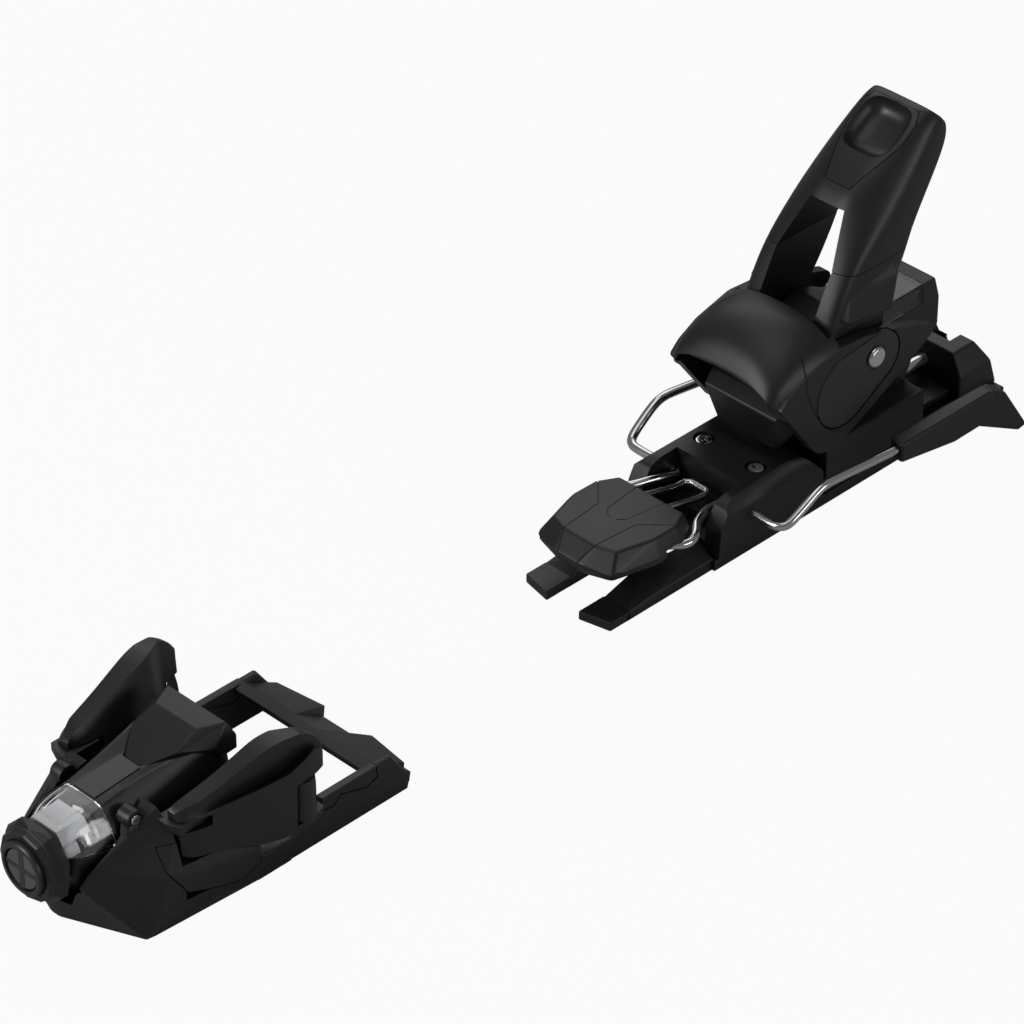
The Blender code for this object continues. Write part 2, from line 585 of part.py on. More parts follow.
def toe_base():
    base = skirt("toe_base")
    half = [(0.0060, BASE_HALF_WIDTH), (SLAB_END_X, BASE_HALF_WIDTH), (SLAB_END_X, 0)]
    slab = prism("slab", half[:2] + [(x, -y) for x, y in reversed(half[:2])], "Z", 0, BASE_TOP_Z)
    wing_room = box("wing_room", (-0.0265, -0.06, BASE_TOP_Z), (0.06, 0.06, 0.08))
    base = cut(base, wing_room)
    rail = [(SLAB_END_X - 0.001, 0), (RAIL_END_X, 0), (RAIL_END_X + 0.0015, 0.0050), (RAIL_END_X - 0.0010, 0.0092),
            (0.0718, LOOP_TOP_Z), (LOOP_FRONT_X, LOOP_TOP_Z), (LOOP_FRONT_X, 0.0140), (0.0300, 0.0125), (SLAB_END_X - 0.001, BASE_TOP_Z)]
    rails = [prism("rail", rail, "Y", *sorted((side * (BASE_HALF_WIDTH - RAIL_WIDTH), side * BASE_HALF_WIDTH)))
             for side, _ in SIDES]
    front = STRIP_X + STRIP_LENGTH + GAP
    rise, drop = LOOP_TOP_Z - 0.0004, CROSSBAR_THICKNESS
    crossbar = prism("crossbar", [(front, rise - drop), (front, rise), (0.0710, rise), (RAIL_END_X + 0.0015, 0.0060),
                                  (RAIL_END_X + 0.0015, 0.0020), (0.0700, rise - drop)],
                     "Y", -BASE_HALF_WIDTH + 0.001, BASE_HALF_WIDTH - 0.001)
    ramps = []
    for side, _ in SIDES:
        near, far = side * 0.0085, side * 0.0340
        ramps.append(hull("ramp", [(front + 0.001, near, rise - 0.001), (front + 0.001, far, rise - 0.001),
                                   (0.0700, near + side * 0.004, rise + 0.0022), (0.0700, far - side * 0.002, rise + 0.0022),
                                   (0.0795, near - side * 0.001, 0.0118), (0.0795, far - side * 0.001, 0.0118),
                                   (0.0800, near, 0.0060), (0.0800, far, 0.0060)]))
    lugs = [lug(side) for side, _ in SIDES]
    base = join(base, slab, *rails, crossbar, *ramps, *lugs, *(pin_tab(side) for side, _ in SIDES))
    trough = loft("trough", [[p for p in section if p[2] > 0.0170] for section in nose_sections(0.0016, NOSE_X - 0.02)])
    cut(base, trough)
    nose = loft("nose_room", nose_sections(GAP, front=NOSE_X - 0.02))
    cap = rod("cap_room", (NOSE_X - 0.02, 0, AXIS_Z), (CAP_REAR_X + GAP, 0, AXIS_Z), CAP_RADIUS + GAP, sides=32)
    rooms = [nose, cap]
    for side, _ in SIDES:
        rooms.append(cover_room("cover_room", side, GAP))
        rooms.append(pin_room(side))
        outer = side * (BASE_HALF_WIDTH + 0.01)
        inner = side * (BASE_HALF_WIDTH - RAIL_WIDTH - 0.01)
        low_edge = [(x, z - GAP) for x, z in LOOP_ARM[1:-1]]
        low_edge[-2] = (low_edge[-2][0] + GAP, low_edge[-2][1])
        low_edge[-1] = (low_edge[-1][0] + GAP, low_edge[-1][1])
        room = [(LOOP_FRONT_X - GAP, 0.03), (LOOP_FRONT_X - GAP, LOOP_ARM[1][1] - GAP)] + low_edge[1:]
        rooms.append(prism("loop_room", room + [(low_edge[-1][0], 0.03)], "Y", *sorted((inner, outer))))
        rooms.append(rod("lug_room", (LUG_X, side * (LUG_END_Y - 0.0040 - GAP), LUG_Z), (LUG_X, side * 0.04, LUG_Z),
                         LUG_SCREW_RADIUS + GAP))
        rooms.append(rod("ski_screw", (TOE_SCREW_X, side * TOE_SCREW_SPACING_Y / 2, -0.01),
                         (TOE_SCREW_X, side * TOE_SCREW_SPACING_Y / 2, 0.02), TOE_SCREW_RADIUS))
    return cut(base, *rooms)


def lug_screw(side, word):
    """The small socket screw in a lug."""
    at = (LUG_X, side * (LUG_END_Y - 0.0040), LUG_Z)
    screw = rod(word + "_lug_screw", at, (LUG_X, side * (LUG_END_Y + 0.0006), LUG_Z), LUG_SCREW_RADIUS, sides=16)
    socket = rod("socket", (LUG_X, side * (LUG_END_Y - 0.0012), LUG_Z), (LUG_X, side * 0.04, LUG_Z), 0.0011, sides=6)
    return cut(screw, socket)


# Toe wings

def ring_points(x, y, radius, z, sides=12):
    return [(x + radius * math.cos(math.tau * i / sides), y + radius * math.sin(math.tau * i / sides), z)
            for i in range(sides)]


WING_SECTIONS = (
    (-0.0220, (0.0248, 0.0260), (0.0245, 0.0462), (0.0305, 0.0448), (0.0343, 0.0385), (0.0348, 0.0260)),
    (-0.0130, (0.0225, 0.0250), (0.0215, 0.0490), (0.0320, 0.0480), (0.0360, 0.0390), (0.0365, 0.0242)),
    (-0.0030, (0.0222, 0.0215), (0.0218, 0.0502), (0.0330, 0.0520), (0.0376, 0.0400), (0.0382, 0.0212)),
    (0.0060, (0.0235, 0.0187), (0.0228, 0.0510), (0.0343, 0.0555), (0.0392, 0.0400), (0.0400, 0.0182)),
    (0.0155, (0.0270, 0.0172), (0.0253, 0.0570), (0.0372, 0.0578), (0.0410, 0.0400), (0.0412, 0.0168)),
    (0.0260, (0.0338, 0.0162), (0.0355, 0.0574), (0.0394, 0.0570), (0.0416, 0.0400), (0.0416, 0.0162)),
    (0.0355, (0.0355, 0.0158), (0.0375, 0.0486), (0.0396, 0.0488), (0.0408, 0.0380), (0.0402, 0.0160)),
)


def wing(side, word):
    """One jaw: a blade that sweeps up to the rear, a round knuckle and the lobe that works the crosshead."""
    blade = loft(word + "_wing", [[(x, side * y, z) for y, z in corners] for x, *corners in WING_SECTIONS])
    at = (WING_PIVOT_X, side * WING_PIVOT_Y)
    knuckle = hull("knuckle", ring_points(*at, WING_KNUCKLE, WING_LOW_Z) + ring_points(*at, WING_KNUCKLE, WING_FRONT_Z - 0.004)
                   + ring_points(*at, WING_KNUCKLE - 0.0030, WING_FRONT_Z))
    near, far = sorted((side * LOBE_INNER_Y, side * WING_PIVOT_Y))
    lobe = box("lobe", (WING_PIVOT_X - LOBE_HALF_WIDTH, near, LOBE_LOW_Z),
               (WING_PIVOT_X + LOBE_HALF_WIDTH, far, LOBE_LOW_Z + LOBE_HEIGHT))
    join(blade, knuckle, lobe)
    tab = rod("tab_room", (*at, TAB_LOW_Z - GAP), (*at, TAB_LOW_Z + TAB_HEIGHT + GAP), TAB_ROOM_RADIUS, sides=28)
    pin = rod("pin_room", (*at, 0), (*at, WING_FRONT_Z - 0.0016), WING_PIN_RADIUS + RUN)
    roller_at = (ROLLER_X, side * ROLLER_Y)
    top = ROLLER_LOW_Z + ROLLER_HEIGHT
    roller = rod("roller_room", (*roller_at, ROLLER_LOW_Z - GAP), (*roller_at, top + GAP), ROLLER_RADIUS + 0.0005, sides=28)
    bore = rod("bore", (*roller_at, ROLLER_LOW_Z - 0.0025), (*roller_at, top + 0.0060), ROLLER_PIN_RADIUS + GAP)
    return cut(blade, tab, pin, roller, bore)


def wing_roller(side, word):
    at = (ROLLER_X, side * ROLLER_Y)
    roller = rod(word + "_wing_roller", (*at, ROLLER_LOW_Z), (*at, ROLLER_LOW_Z + ROLLER_HEIGHT), ROLLER_RADIUS,
                 GREY_BLACK, sides=28)
    return cut(roller, rod("bore", (*at, 0), (*at, 0.06), ROLLER_PIN_RADIUS + RUN))


def roller_pin(side, word):
    at = (ROLLER_X, side * ROLLER_Y)
    return rod(word + "_roller_pin", (*at, ROLLER_LOW_Z - 0.0022), (*at, ROLLER_LOW_Z + ROLLER_HEIGHT + 0.0057),
               ROLLER_PIN_RADIUS, STEEL, sides=14)


def wing_pin(side, word):
    at = (WING_PIVOT_X, side * WING_PIVOT_Y)
    return rod(word + "_wing_pin", (*at, WING_PIN_LOW_Z), (*at, WING_FRONT_Z - 0.0019), WING_PIN_RADIUS, STEEL)


# Heel track and brake bracket

def heel_track():
    half = TRACK_HALF_WIDTH
    track = box("heel_track", (TRACK_FRONT_X, -half, 0), (TRACK_END_X, half, PLATE_HEIGHT))
    neck = box("neck", (BRACKET_END_X, -RAIL_NECK_HALF, PLATE_HEIGHT - 0.001),
               (REAR_BRACKET_X - GAP, RAIL_NECK_HALF, PLATE_HEIGHT + RAIL_NECK_HEIGHT + 0.0005))
    head = box("head", (BRACKET_END_X, -RAIL_HEAD_HALF, PLATE_HEIGHT + RAIL_NECK_HEIGHT),
               (REAR_BRACKET_X - GAP, RAIL_HEAD_HALF, RAIL_TOP_Z))
    prongs = []
    for side, _ in SIDES:
        inner, outer = side * PRONG_INNER_Y, side * PRONG_OUTER_Y
        tip = PRONG_TIP_X
        blade = hull("prong", [(tip, inner, 0), (tip + 0.003, outer, 0), (tip, inner, PRONG_TIP_HEIGHT),
                               (tip + 0.003, outer, PRONG_TIP_HEIGHT), (tip + 0.014, inner, 0), (tip + 0.014, outer, 0),
                               (tip + 0.014, inner, PRONG_TIP_HEIGHT), (tip + 0.014, outer, PRONG_TIP_HEIGHT)])
        arm = hull("prong_arm", [(tip + 0.012, inner, 0), (tip + 0.012, outer, 0), (tip + 0.012, inner, 0.0030),
                                 (tip + 0.012, outer, 0.0036), (tip + 0.030, inner + side * 0.002, 0.0105),
                                 (tip + 0.024, outer, 0.0050), (TRACK_FRONT_X + 0.004, inner + side * 0.006, 0.0105),
                                 (TRACK_FRONT_X + 0.004, outer, PLATE_HEIGHT), (TRACK_FRONT_X + 0.004, inner, 0),
                                 (TRACK_FRONT_X + 0.004, outer, 0)])
        prongs += [blade, arm]
    bracket_room = box("bracket_room", (TRACK_FRONT_X + 0.0005, -0.05, PLATE_HEIGHT), (BRACKET_END_X, 0.05, 0.05))
    for prong in prongs:
        join(track, prong)
    cut(track, bracket_room)
    screws = [rod("screw", (BRACKET_SCREW_X, side * BRACKET_SCREW_SPACING / 2, -0.01),
                  (BRACKET_SCREW_X, side * BRACKET_SCREW_SPACING / 2, 0.03), BRACKET_SCREW_RADIUS + GAP)
              for side, _ in SIDES]
    return cut(join(track, neck, head), *screws)


def brake_bracket():
    seat = PLATE_HEIGHT + GAP
    outline = [(0.2572, seat), (BRACKET_END_X - GAP, seat), (BRACKET_END_X - GAP, 0.0180), (0.3080, 0.0270),
               (0.2990, BRACKET_TOP_Z + 0.0010), (BRACKET_FRONT_X + 0.0030, BRACKET_TOP_Z), (BRACKET_FRONT_X, 0.0245),
               (0.2575, 0.0100)]
    half = BRACKET_HALF_WIDTH
    bracket = prism("brake_bracket", outline, "Y", -half, half)
    shoulder = 0.0050
    for side, _ in SIDES:
        edge = prism("edge", [(side * (half + 0.001), BRACKET_TOP_Z - shoulder), (side * (half + 0.001), 0.04),
                              (side * (half - shoulder), 0.04), (side * (half - shoulder), BRACKET_TOP_Z + 0.0012)],
                     "X", 0.25, 0.33)
        cut(bracket, edge)
    notch = box("notch", (0.25, -NOTCH_HALF_WIDTH, PLATE_HEIGHT + 0.0055), (NOTCH_END_X, NOTCH_HALF_WIDTH, 0.05))
    front = box("front", (0.25, -0.0110, 0), (NOTCH_END_X - 0.008, 0.0110, 0.05))
    pivots = [rod("pivot", (BRAKE_X, side * 0.0120, BRAKE_Z), (BRAKE_X, side * 0.05, BRAKE_Z), BRAKE_WIRE_RADIUS + RUN,
                  sides=16) for side, _ in SIDES]
    rooms = [notch, front, *pivots]
    for side, _ in SIDES:
        y = side * BRACKET_SCREW_SPACING / 2
        floor = BRACKET_TOP_Z - BRACKET_SCREW_HEAD_HEIGHT - 0.0012
        rooms.append(rod("screw", (BRACKET_SCREW_X, y, 0), (BRACKET_SCREW_X, y, 0.05), BRACKET_SCREW_RADIUS + GAP))
        rooms.append(rod("head", (BRACKET_SCREW_X, y, floor - GAP), (BRACKET_SCREW_X, y, 0.05), BRACKET_SCREW_HEAD + GAP))
    return cut(bracket, *rooms)


def bracket_screw(side, word):
    """A cross-recessed screw that holds the bracket and track, cut off at the ski."""
    x, y = BRACKET_SCREW_X, side * BRACKET_SCREW_SPACING / 2
    floor = BRACKET_TOP_Z - BRACKET_SCREW_HEAD_HEIGHT - 0.0012
    top = floor + BRACKET_SCREW_HEAD_HEIGHT
    shank = rod(word + "_bracket_screw", (x, y, 0.0008), (x, y, floor + 0.001), BRACKET_SCREW_RADIUS, sides=16)
    head = rod("head", (x, y, floor), (x, y, top), BRACKET_SCREW_HEAD, end_radius=BRACKET_SCREW_HEAD - 0.0008)
    slots = [box("slot", (x - a, y - b, top - 0.0014), (x + a, y + b, top + 0.01))
             for a, b in ((0.0024, 0.0006), (0.0006, 0.0024))]
    return cut(join(shank, head), *slots)


# Brake

BRAKE_ROUTE = ((0.2290, 0.0150, 0.0218), (0.2345, 0.0192, 0.0214), (0.2400, 0.0233, 0.0212), (0.2460, 0.0225, 0.0213),
               (0.2525, 0.0176, 0.0218), (0.2600, 0.0148, 0.0218), (0.2675, 0.0135, 0.0205), (0.2725, 0.0132, 0.0192),
               (0.2745, 0.0146, 0.0190), (0.2750, 0.0170, 0.0190), (0.2750, 0.0260, 0.0190), (0.2750, 0.0350, 0.0190),
               (0.2758, 0.0392, 0.0193), (0.2785, 0.0415, 0.0206), (0.2850, 0.0424, 0.0246), (0.2915, 0.0427, 0.0284),
               (0.2965, 0.0427, 0.0298), (0.3040, 0.0425, 0.0294), (0.3250, 0.0418, 0.0266), (0.3430, 0.0412, 0.0242),
               (0.3500, 0.0410, 0.0232))


def brake_wire(side, word):
    path = smooth_path([(x, side * y, z) for x, y, z in BRAKE_ROUTE], 2)
    return wire(word + "_brake_wire", path, BRAKE_WIRE_RADIUS)


def brake_foot(side, word):
    """Plastic foot on the end of a brake wire."""
    start = FOOT_START_X
    body = [(start, 0.0378, 0.0195), (start, 0.0446, 0.0195), (start, 0.0378, 0.0290), (start, 0.0446, 0.0282),
            (start + 0.030, 0.0378, 0.0160), (start + 0.030, 0.0462, 0.0155), (start + 0.030, 0.0380, 0.0290),
            (start + 0.030, 0.0448, 0.0285), (start + 0.054, 0.0390, 0.0290), (start + 0.052, 0.0455, 0.0290),
            (start + 0.050, 0.0385, 0.0170), (start + 0.050, 0.0470, 0.0165)]
    foot = hull(word + "_brake_foot", [(x, side * y, z) for x, y, z in body])
    tip = [(start + 0.044, 0.0385, 0.0170), (start + 0.044, 0.0468, 0.0165), (start + 0.054, 0.0390, 0.0290),
           (start + 0.052, 0.0455, 0.0288), (start + 0.071, 0.0420, 0.0070), (start + 0.071, 0.0490, 0.0060),
           (start + 0.066, 0.0420, 0.0060), (start + 0.066, 0.0490, 0.0052), (start + 0.060, 0.0400, 0.0260),
           (start + 0.060, 0.0462, 0.0250)]
    join(foot, hull("tip", [(x, side * y, z) for x, y, z in tip]))
    near, far = Vector((0.3250, side * 0.0418, 0.0266)), Vector((0.3500, side * 0.0410, 0.0232))
    ahead = (far - near).normalized()
    return cut(foot, rod("wire_room", near, far + ahead * GAP, BRAKE_WIRE_RADIUS + GAP, sides=16))


def brake_pad():
    top = PAD_TOP_Z
    rim = [(0.2062, 0.0085, top - 0.0002), (0.2200, 0.0185, top), (0.2372, 0.0225, top - 0.0002), (0.2462, 0.0188, top - 0.0006)]
    waist = [(0.1990, 0.0075, 0.0235), (0.2070, 0.0222, 0.0225), (0.2300, 0.0250, 0.0225), (0.2470, 0.0205, 0.0225)]
    foot = [(0.2010, 0.0070, 0.0185), (0.2080, 0.0200, 0.0175), (0.2300, 0.0235, 0.0185), (0.2470, 0.0195, 0.0195)]
    pad = hull("brake_pad", both(rim + waist + foot))
    ceiling = 0.0218 + BRAKE_WIRE_RADIUS + GAP
    hollow = hull("hollow", both([(0.2080, 0.0060, 0.0100), (0.2130, 0.0170, 0.0100), (0.2300, 0.0200, 0.0100), (0.2440, 0.0170, 0.0100),
                                  (0.2080, 0.0060, ceiling), (0.2130, 0.0170, ceiling), (0.2300, 0.0200, ceiling),
                                  (0.2440, 0.0170, ceiling)]))
    rooms = [hollow, box("mouth", (0.2420, -0.0130, 0.0100), (0.2600, 0.0130, ceiling))]
    for side, _ in SIDES:
        y = side * SPRING_WIRE_HALF
        rooms.append(box("leg", (0.2290, y - SPRING_WIRE_RADIUS - GAP, 0.0220), (0.2600, y + SPRING_WIRE_RADIUS + GAP, 0.0282)))
        rooms.append(box("mouth", (0.2285, *sorted((side * 0.0160, side * 0.04))[:1], 0.0100),
                         (0.2500, sorted((side * 0.0160, side * 0.04))[1], ceiling)))
    return cut(pad, *rooms)


def brake_spring_wire():
    half = SPRING_WIRE_HALF
    arc = [(0.2688 + 0.0030 * math.sin(a), (half - 0.0030) + 0.0030 * math.cos(a), 0.0207)
           for a in (0.0, math.pi / 6, math.pi / 3, math.pi / 2)]
    leg = [(0.2305, half, 0.0264), (0.2400, half, 0.0264), (0.2450, half, 0.0260), (0.2560, half, 0.0232), (0.2640, half, 0.0212)]
    path = [Vector(p) for p in leg + arc]
    path += [Vector((p.x, -p.y, p.z)) for p in reversed(path)]
    return wire("brake_spring_wire", path, SPRING_WIRE_RADIUS)


# Heel carriage

def heel_carriage():
    seat = PLATE_HEIGHT + GAP
    body = box("heel_carriage", (CARRIAGE_FRONT_X, -TRACK_HALF_WIDTH, seat), (CARRIAGE_END_X, TRACK_HALF_WIDTH, CARRIAGE_TOP_Z))
    side_view = [(0.3225, 0.0250), (0.3225, 0.0600), (AXLE_X - 0.0080, AXLE_Z + 0.0085), (AXLE_X, AXLE_Z + 0.0120),
                 (AXLE_X + 0.0090, AXLE_Z + 0.0090), (AXLE_X + 0.0160, BLOCK_TOP_Z), (BLOCK_END_X - 0.0030, BLOCK_TOP_Z),
                 (BLOCK_END_X, BLOCK_TOP_Z - 0.0100), (BLOCK_END_X, 0.0445), (0.3820, 0.0390), (CARRIAGE_END_X, 0.0250)]
    tower = prism("tower", side_view, "Y", -TOWER_HALF_WIDTH, TOWER_HALF_WIDTH)
    join(body, tower)
    head = RAIL_TOP_Z + GAP
    rooms = [box("neck", (0.3, -RAIL_NECK_HALF - GAP, 0), (0.4, RAIL_NECK_HALF + GAP, head)),
             box("head", (0.3, -RAIL_HEAD_HALF - GAP, PLATE_HEIGHT + RAIL_NECK_HEIGHT - GAP), (0.4, RAIL_HEAD_HALF + GAP, head)),
             rod("axle", (AXLE_X, -0.05, AXLE_Z), (AXLE_X, 0.05, AXLE_Z), AXLE_RADIUS + RUN, sides=24),
             rod("track_screw", (0.3, 0, TRACK_SCREW_Z), (0.4, 0, TRACK_SCREW_Z), TRACK_SCREW_RADIUS + RUN),
             rod("spring", (0.31, 0, HEEL_AXIS_Z), (HEEL_BORE_END_X, 0, HEEL_AXIS_Z), HEEL_BORE, sides=24),
             rod("shaft", (HEEL_BORE_END_X - 0.001, 0, HEEL_AXIS_Z), (0.41, 0, HEEL_AXIS_Z), HEEL_SCREW_RADIUS + RUN),
             rod("head", (BLOCK_END_X - HEEL_SCREW_HEAD_LENGTH - GAP, 0, HEEL_AXIS_Z), (0.41, 0, HEEL_AXIS_Z),
                 HEEL_SCREW_HEAD + GAP),
             box("window", (WINDOW_FRONT_X - GAP, -0.03, WINDOW_LOW_Z - GAP),
                 (WINDOW_FRONT_X + WINDOW_LENGTH + GAP, 0.03, 0.08)),
             box("flag_slot", (WINDOW_FRONT_X - GAP, -0.0045, HEEL_AXIS_Z),
                 (WINDOW_FRONT_X + WINDOW_LENGTH + GAP, 0.0045, WINDOW_LOW_Z))]
    return cut(body, *rooms)


def rear_window():
    low, high = WINDOW_FRONT_X, WINDOW_FRONT_X + WINDOW_LENGTH
    half, wall = TOWER_HALF_WIDTH, WINDOW_WALL
    window = prism("rear_window", [(-half, WINDOW_LOW_Z), (half, WINDOW_LOW_Z), (half, BLOCK_TOP_Z - 0.0035),
                                   (half - 0.0035, BLOCK_TOP_Z), (-half + 0.0035, BLOCK_TOP_Z), (-half, BLOCK_TOP_Z - 0.0035)],
                   "X", low, high, CLEAR)
    return cut(window, box("inside", (low + wall, -half + wall, 0.05), (high - wall, half - wall, BLOCK_TOP_Z - wall)))


def heel_plunger():
    front = CAM_WALL_X + CAM_WALL + GAP
    return rod("heel_plunger", (front, 0, HEEL_AXIS_Z), (front + PLUNGER_LENGTH, 0, HEEL_AXIS_Z), PLUNGER_RADIUS, ZINC)


def heel_spring():
    front = CAM_WALL_X + CAM_WALL + 2 * GAP + PLUNGER_LENGTH
    return coil("heel_spring", front, HEEL_NUT_X - GAP, HEEL_AXIS_Z, HEEL_BORE - 0.0006 - HEEL_SPRING_WIRE / 2,
                HEEL_SPRING_WIRE / 2, HEEL_SPRING_TURNS)


def heel_spring_nut():
    front, rear = HEEL_NUT_X, HEEL_NUT_X + HEEL_NUT_LENGTH
    radius = HEEL_BORE - RUN
    nut = rod("heel_spring_nut", (front, 0, HEEL_AXIS_Z), (rear, 0, HEEL_AXIS_Z), radius, PALE, sides=24)
    flag = box("flag", (front - 0.0045, -0.0040, HEEL_AXIS_Z + radius - 0.0010),
               (rear, 0.0040, BLOCK_TOP_Z - WINDOW_WALL - 0.0010))
    relief = rod("relief", (0.36, 0, HEEL_AXIS_Z), (front, 0, HEEL_AXIS_Z), HEEL_BORE, sides=24)
    bore = rod("bore", (0.3, 0, HEEL_AXIS_Z), (0.41, 0, HEEL_AXIS_Z), HEEL_SCREW_RADIUS + RUN)
    return cut(join(nut, cut(flag, relief)), bore)


def heel_release_screw():
    head = BLOCK_END_X - HEEL_SCREW_HEAD_LENGTH
    screw = rod("heel_release_screw", (HEEL_NUT_X - 0.0120, 0, HEEL_AXIS_Z), (head + 0.001, 0, HEEL_AXIS_Z),
                HEEL_SCREW_RADIUS, ZINC)
    join(screw, rod("head", (head, 0, HEEL_AXIS_Z), (BLOCK_END_X - 0.0004, 0, HEEL_AXIS_Z), HEEL_SCREW_HEAD))
    slot = box("slot", (BLOCK_END_X - 0.0018, -0.0034, HEEL_AXIS_Z - 0.0006), (BLOCK_END_X + 0.01, 0.0034, HEEL_AXIS_Z + 0.0006))
    return cut(screw, slot)


# Heel cup

def cup_skin(name, inset):
    """Outside of the hood and cheeks, moved in by an inset."""
    half = [(0.2826, 0.0275, 0.0633), (0.2838, 0.0120, 0.0660), (0.2842, 0.0040, 0.0760), (0.2885, 0.0235, 0.0722),
            (0.2960, 0.0270, 0.0752), (0.3030, 0.0050, 0.0860), (0.3085, 0.0120, 0.0850), (0.3180, 0.0240, 0.0815),
            (0.3180, 0.0100, 0.0850), (0.3030, 0.0290, 0.0450), (0.3068, 0.0282, 0.0325), (0.3190, 0.0282, 0.0308),
            (0.2985, 0.0292, 0.0640), (0.3500, 0.0292, 0.0705), (0.3330, 0.0290, 0.0750), (0.3720, 0.0286, 0.0630),
            (0.3730, 0.0288, 0.0585), (0.3370, 0.0290, 0.0390)]
    moved = []
    centre = Vector((0.3250, 0, 0.0560))
    for point in half:
        corner = Vector(point)
        inward = Vector((centre.x - corner.x, -corner.y, centre.z - corner.z))
        moved.append(tuple(corner + inward.normalized() * inset))
    return hull(name, both(moved))


def heel_cup():
    cup = cup_skin("heel_cup", 0)
    lip = [(0.2700, 0.0250), (0.2700, 0.0600), (0.2826, 0.0633), (0.3062, 0.0330), (0.3062, 0.0250)]
    inside = hull("inside", both([(0.2700, CHEEK_INNER_Y, 0.0200), (0.2700, CHEEK_INNER_Y, 0.0600),
                                  (0.2860, CHEEK_INNER_Y, 0.0625), (0.2890, 0.0215, 0.0690), (0.3000, 0.0200, 0.0715),
                                  (0.3040, 0.0060, 0.0812), (0.3300, 0.0080, 0.0812), (0.3300, 0.0215, 0.0775),
                                  (0.3300, CHEEK_INNER_Y, 0.0700), (0.3300, CHEEK_INNER_Y, 0.0200)]))
    behind = box("behind", (0.3160, -CHEEK_INNER_Y, 0.02), (0.40, CHEEK_INNER_Y, 0.10))
    below = prism("below", lip, "Y", -0.06, 0.06)
    arch = prism("arch", [(-0.0100, 0.0500), (-0.0085, 0.0668), (0.0085, 0.0668), (0.0100, 0.0500)], "X", 0.27, 0.289)
    cut(cup, inside, behind, below, arch)
    web = box("cam_wall", (CAM_WALL_X, -CHEEK_INNER_Y - 0.001, 0.0440), (CAM_WALL_X + CAM_WALL, CHEEK_INNER_Y + 0.001, 0.0590))
    join(cup, web)
    axle = rod("axle", (AXLE_X, -0.06, AXLE_Z), (AXLE_X, 0.06, AXLE_Z), AXLE_RADIUS + RUN, sides=24)
    rooms = [axle]
    for side, _ in SIDES:
        rooms.append(prism("oval_room", grown(OVAL, GAP), "Y", *sorted((side * (CHEEK_OUTER_Y - GAP), side * 0.06))))
    return cut(cup, *rooms)


def oval_outline():
    """Rounded leaf shape of the side cover, from two arcs of points."""
    middle, back = Vector((0.3222, 0.0550)), Vector((0.3415, 0.0612))
    points = []
    for i in range(16):
        angle = math.tau * i / 16
        focus = back if math.cos(angle - 0.35) > 0 else middle
        radius = 0.0115 if focus is back else 0.0160
        points.append((focus.x + radius * math.cos(angle), focus.y + radius * math.sin(angle)))
    return points


OVAL = oval_outline()


def oval_cover(side, word):
    cover = prism(word + "_oval_cover", OVAL, "Y", *sorted((side * CHEEK_OUTER_Y, side * OVAL_OUTER_Y)), GREY_BLACK)
    return cut(cover, rod("axle", (AXLE_X, -0.06, AXLE_Z), (AXLE_X, 0.06, AXLE_Z), AXLE_RADIUS + RUN, sides=24))


def treadle():
    points = both([(0.2940, 0.0190, 0.0490), (0.2985, 0.0150, 0.0315), (0.3060, 0.0140, 0.0310),
                   (CAM_WALL_X - GAP, 0.0215, 0.0560), (CAM_WALL_X - GAP, 0.0215, 0.0450), (0.3000, 0.0205, 0.0540)])
    return hull("treadle", points)


def axle_pin():
    reach = OVAL_OUTER_Y + 0.0002
    pin = rod("axle_pin", (AXLE_X, -reach, AXLE_Z), (AXLE_X, reach, AXLE_Z), AXLE_RADIUS, STEEL, sides=24)
    for side, _ in SIDES:
        near = side * (OVAL_OUTER_Y + GAP)
        head = rod("head", (AXLE_X, near, AXLE_Z), (AXLE_X, near + side * 0.0014, AXLE_Z), AXLE_HEAD_RADIUS, sides=24,
                   end_radius=AXLE_HEAD_RADIUS - 0.0012)
        core = rod("core", (AXLE_X, near - side * 0.001, AXLE_Z), (AXLE_X, near + side * 0.001, AXLE_Z), AXLE_RADIUS, sides=24)
        join(pin, core, head)
    return pin


# Heel lever

def lever_skin(name):
    """Outer form of the whole lever, from its feet to its top."""
    half = [(0.3185, ARM_OUTER_Y, 0.0800), (0.3185, ARM_INNER_Y, 0.0800), (0.3275, 0.0150, 0.0995), (0.3290, ARM_OUTER_Y, 0.0985),
            (0.3445, 0.0070, 0.1255), (0.3470, 0.0150, 0.1210), (0.3790, 0.0110, 0.1485), (0.3860, 0.0150, 0.1455),
            (0.3835, 0.0175, 0.1420), (0.3880, 0.0090, 0.1475), (0.3885, 0.0180, 0.1325), (0.3665, 0.0215, 0.1080),
            (0.3600, ARM_OUTER_Y, 0.0900), (0.3520, ARM_OUTER_Y, 0.0780), (0.3480, ARM_OUTER_Y, 0.0720), (0.3200, ARM_OUTER_Y, 0.0740)]
    return hull(name, both(half))


def window_room(name):
    """The gap between the lever's arms, from the cross piece down."""
    wide, tall = ARM_INNER_Y, 0.1190
    outline = [(-wide, 0.05), (wide, 0.05), (wide, LEVER_SEAM_Z), (0.0085, tall), (-0.0085, tall), (-wide, LEVER_SEAM_Z)]
    return prism(name, outline, "X", 0.30, 0.42)


def heel_lever():
    lever = combine(lever_skin("heel_lever"), "INTERSECT", box("upper", (0.30, -0.05, LEVER_SEAM_Z + GAP), (0.42, 0.05, 0.16)))
    scoop = hull("scoop", both([(0.3700, 0.0200, 0.1000), (0.4200, 0.0200, 0.1000), (0.3905, 0.0200, 0.1290), (0.3980, 0.0200, 0.1400)]))
    return cut(lever, window_room("window"), scoop, insert_room("insert_room", GAP))


INSERT = ((0.3455, 0.0062), (0.3560, 0.0082), (0.3680, 0.0116), (0.3770, 0.0110))
INSERT_DEPTH = 0.0100


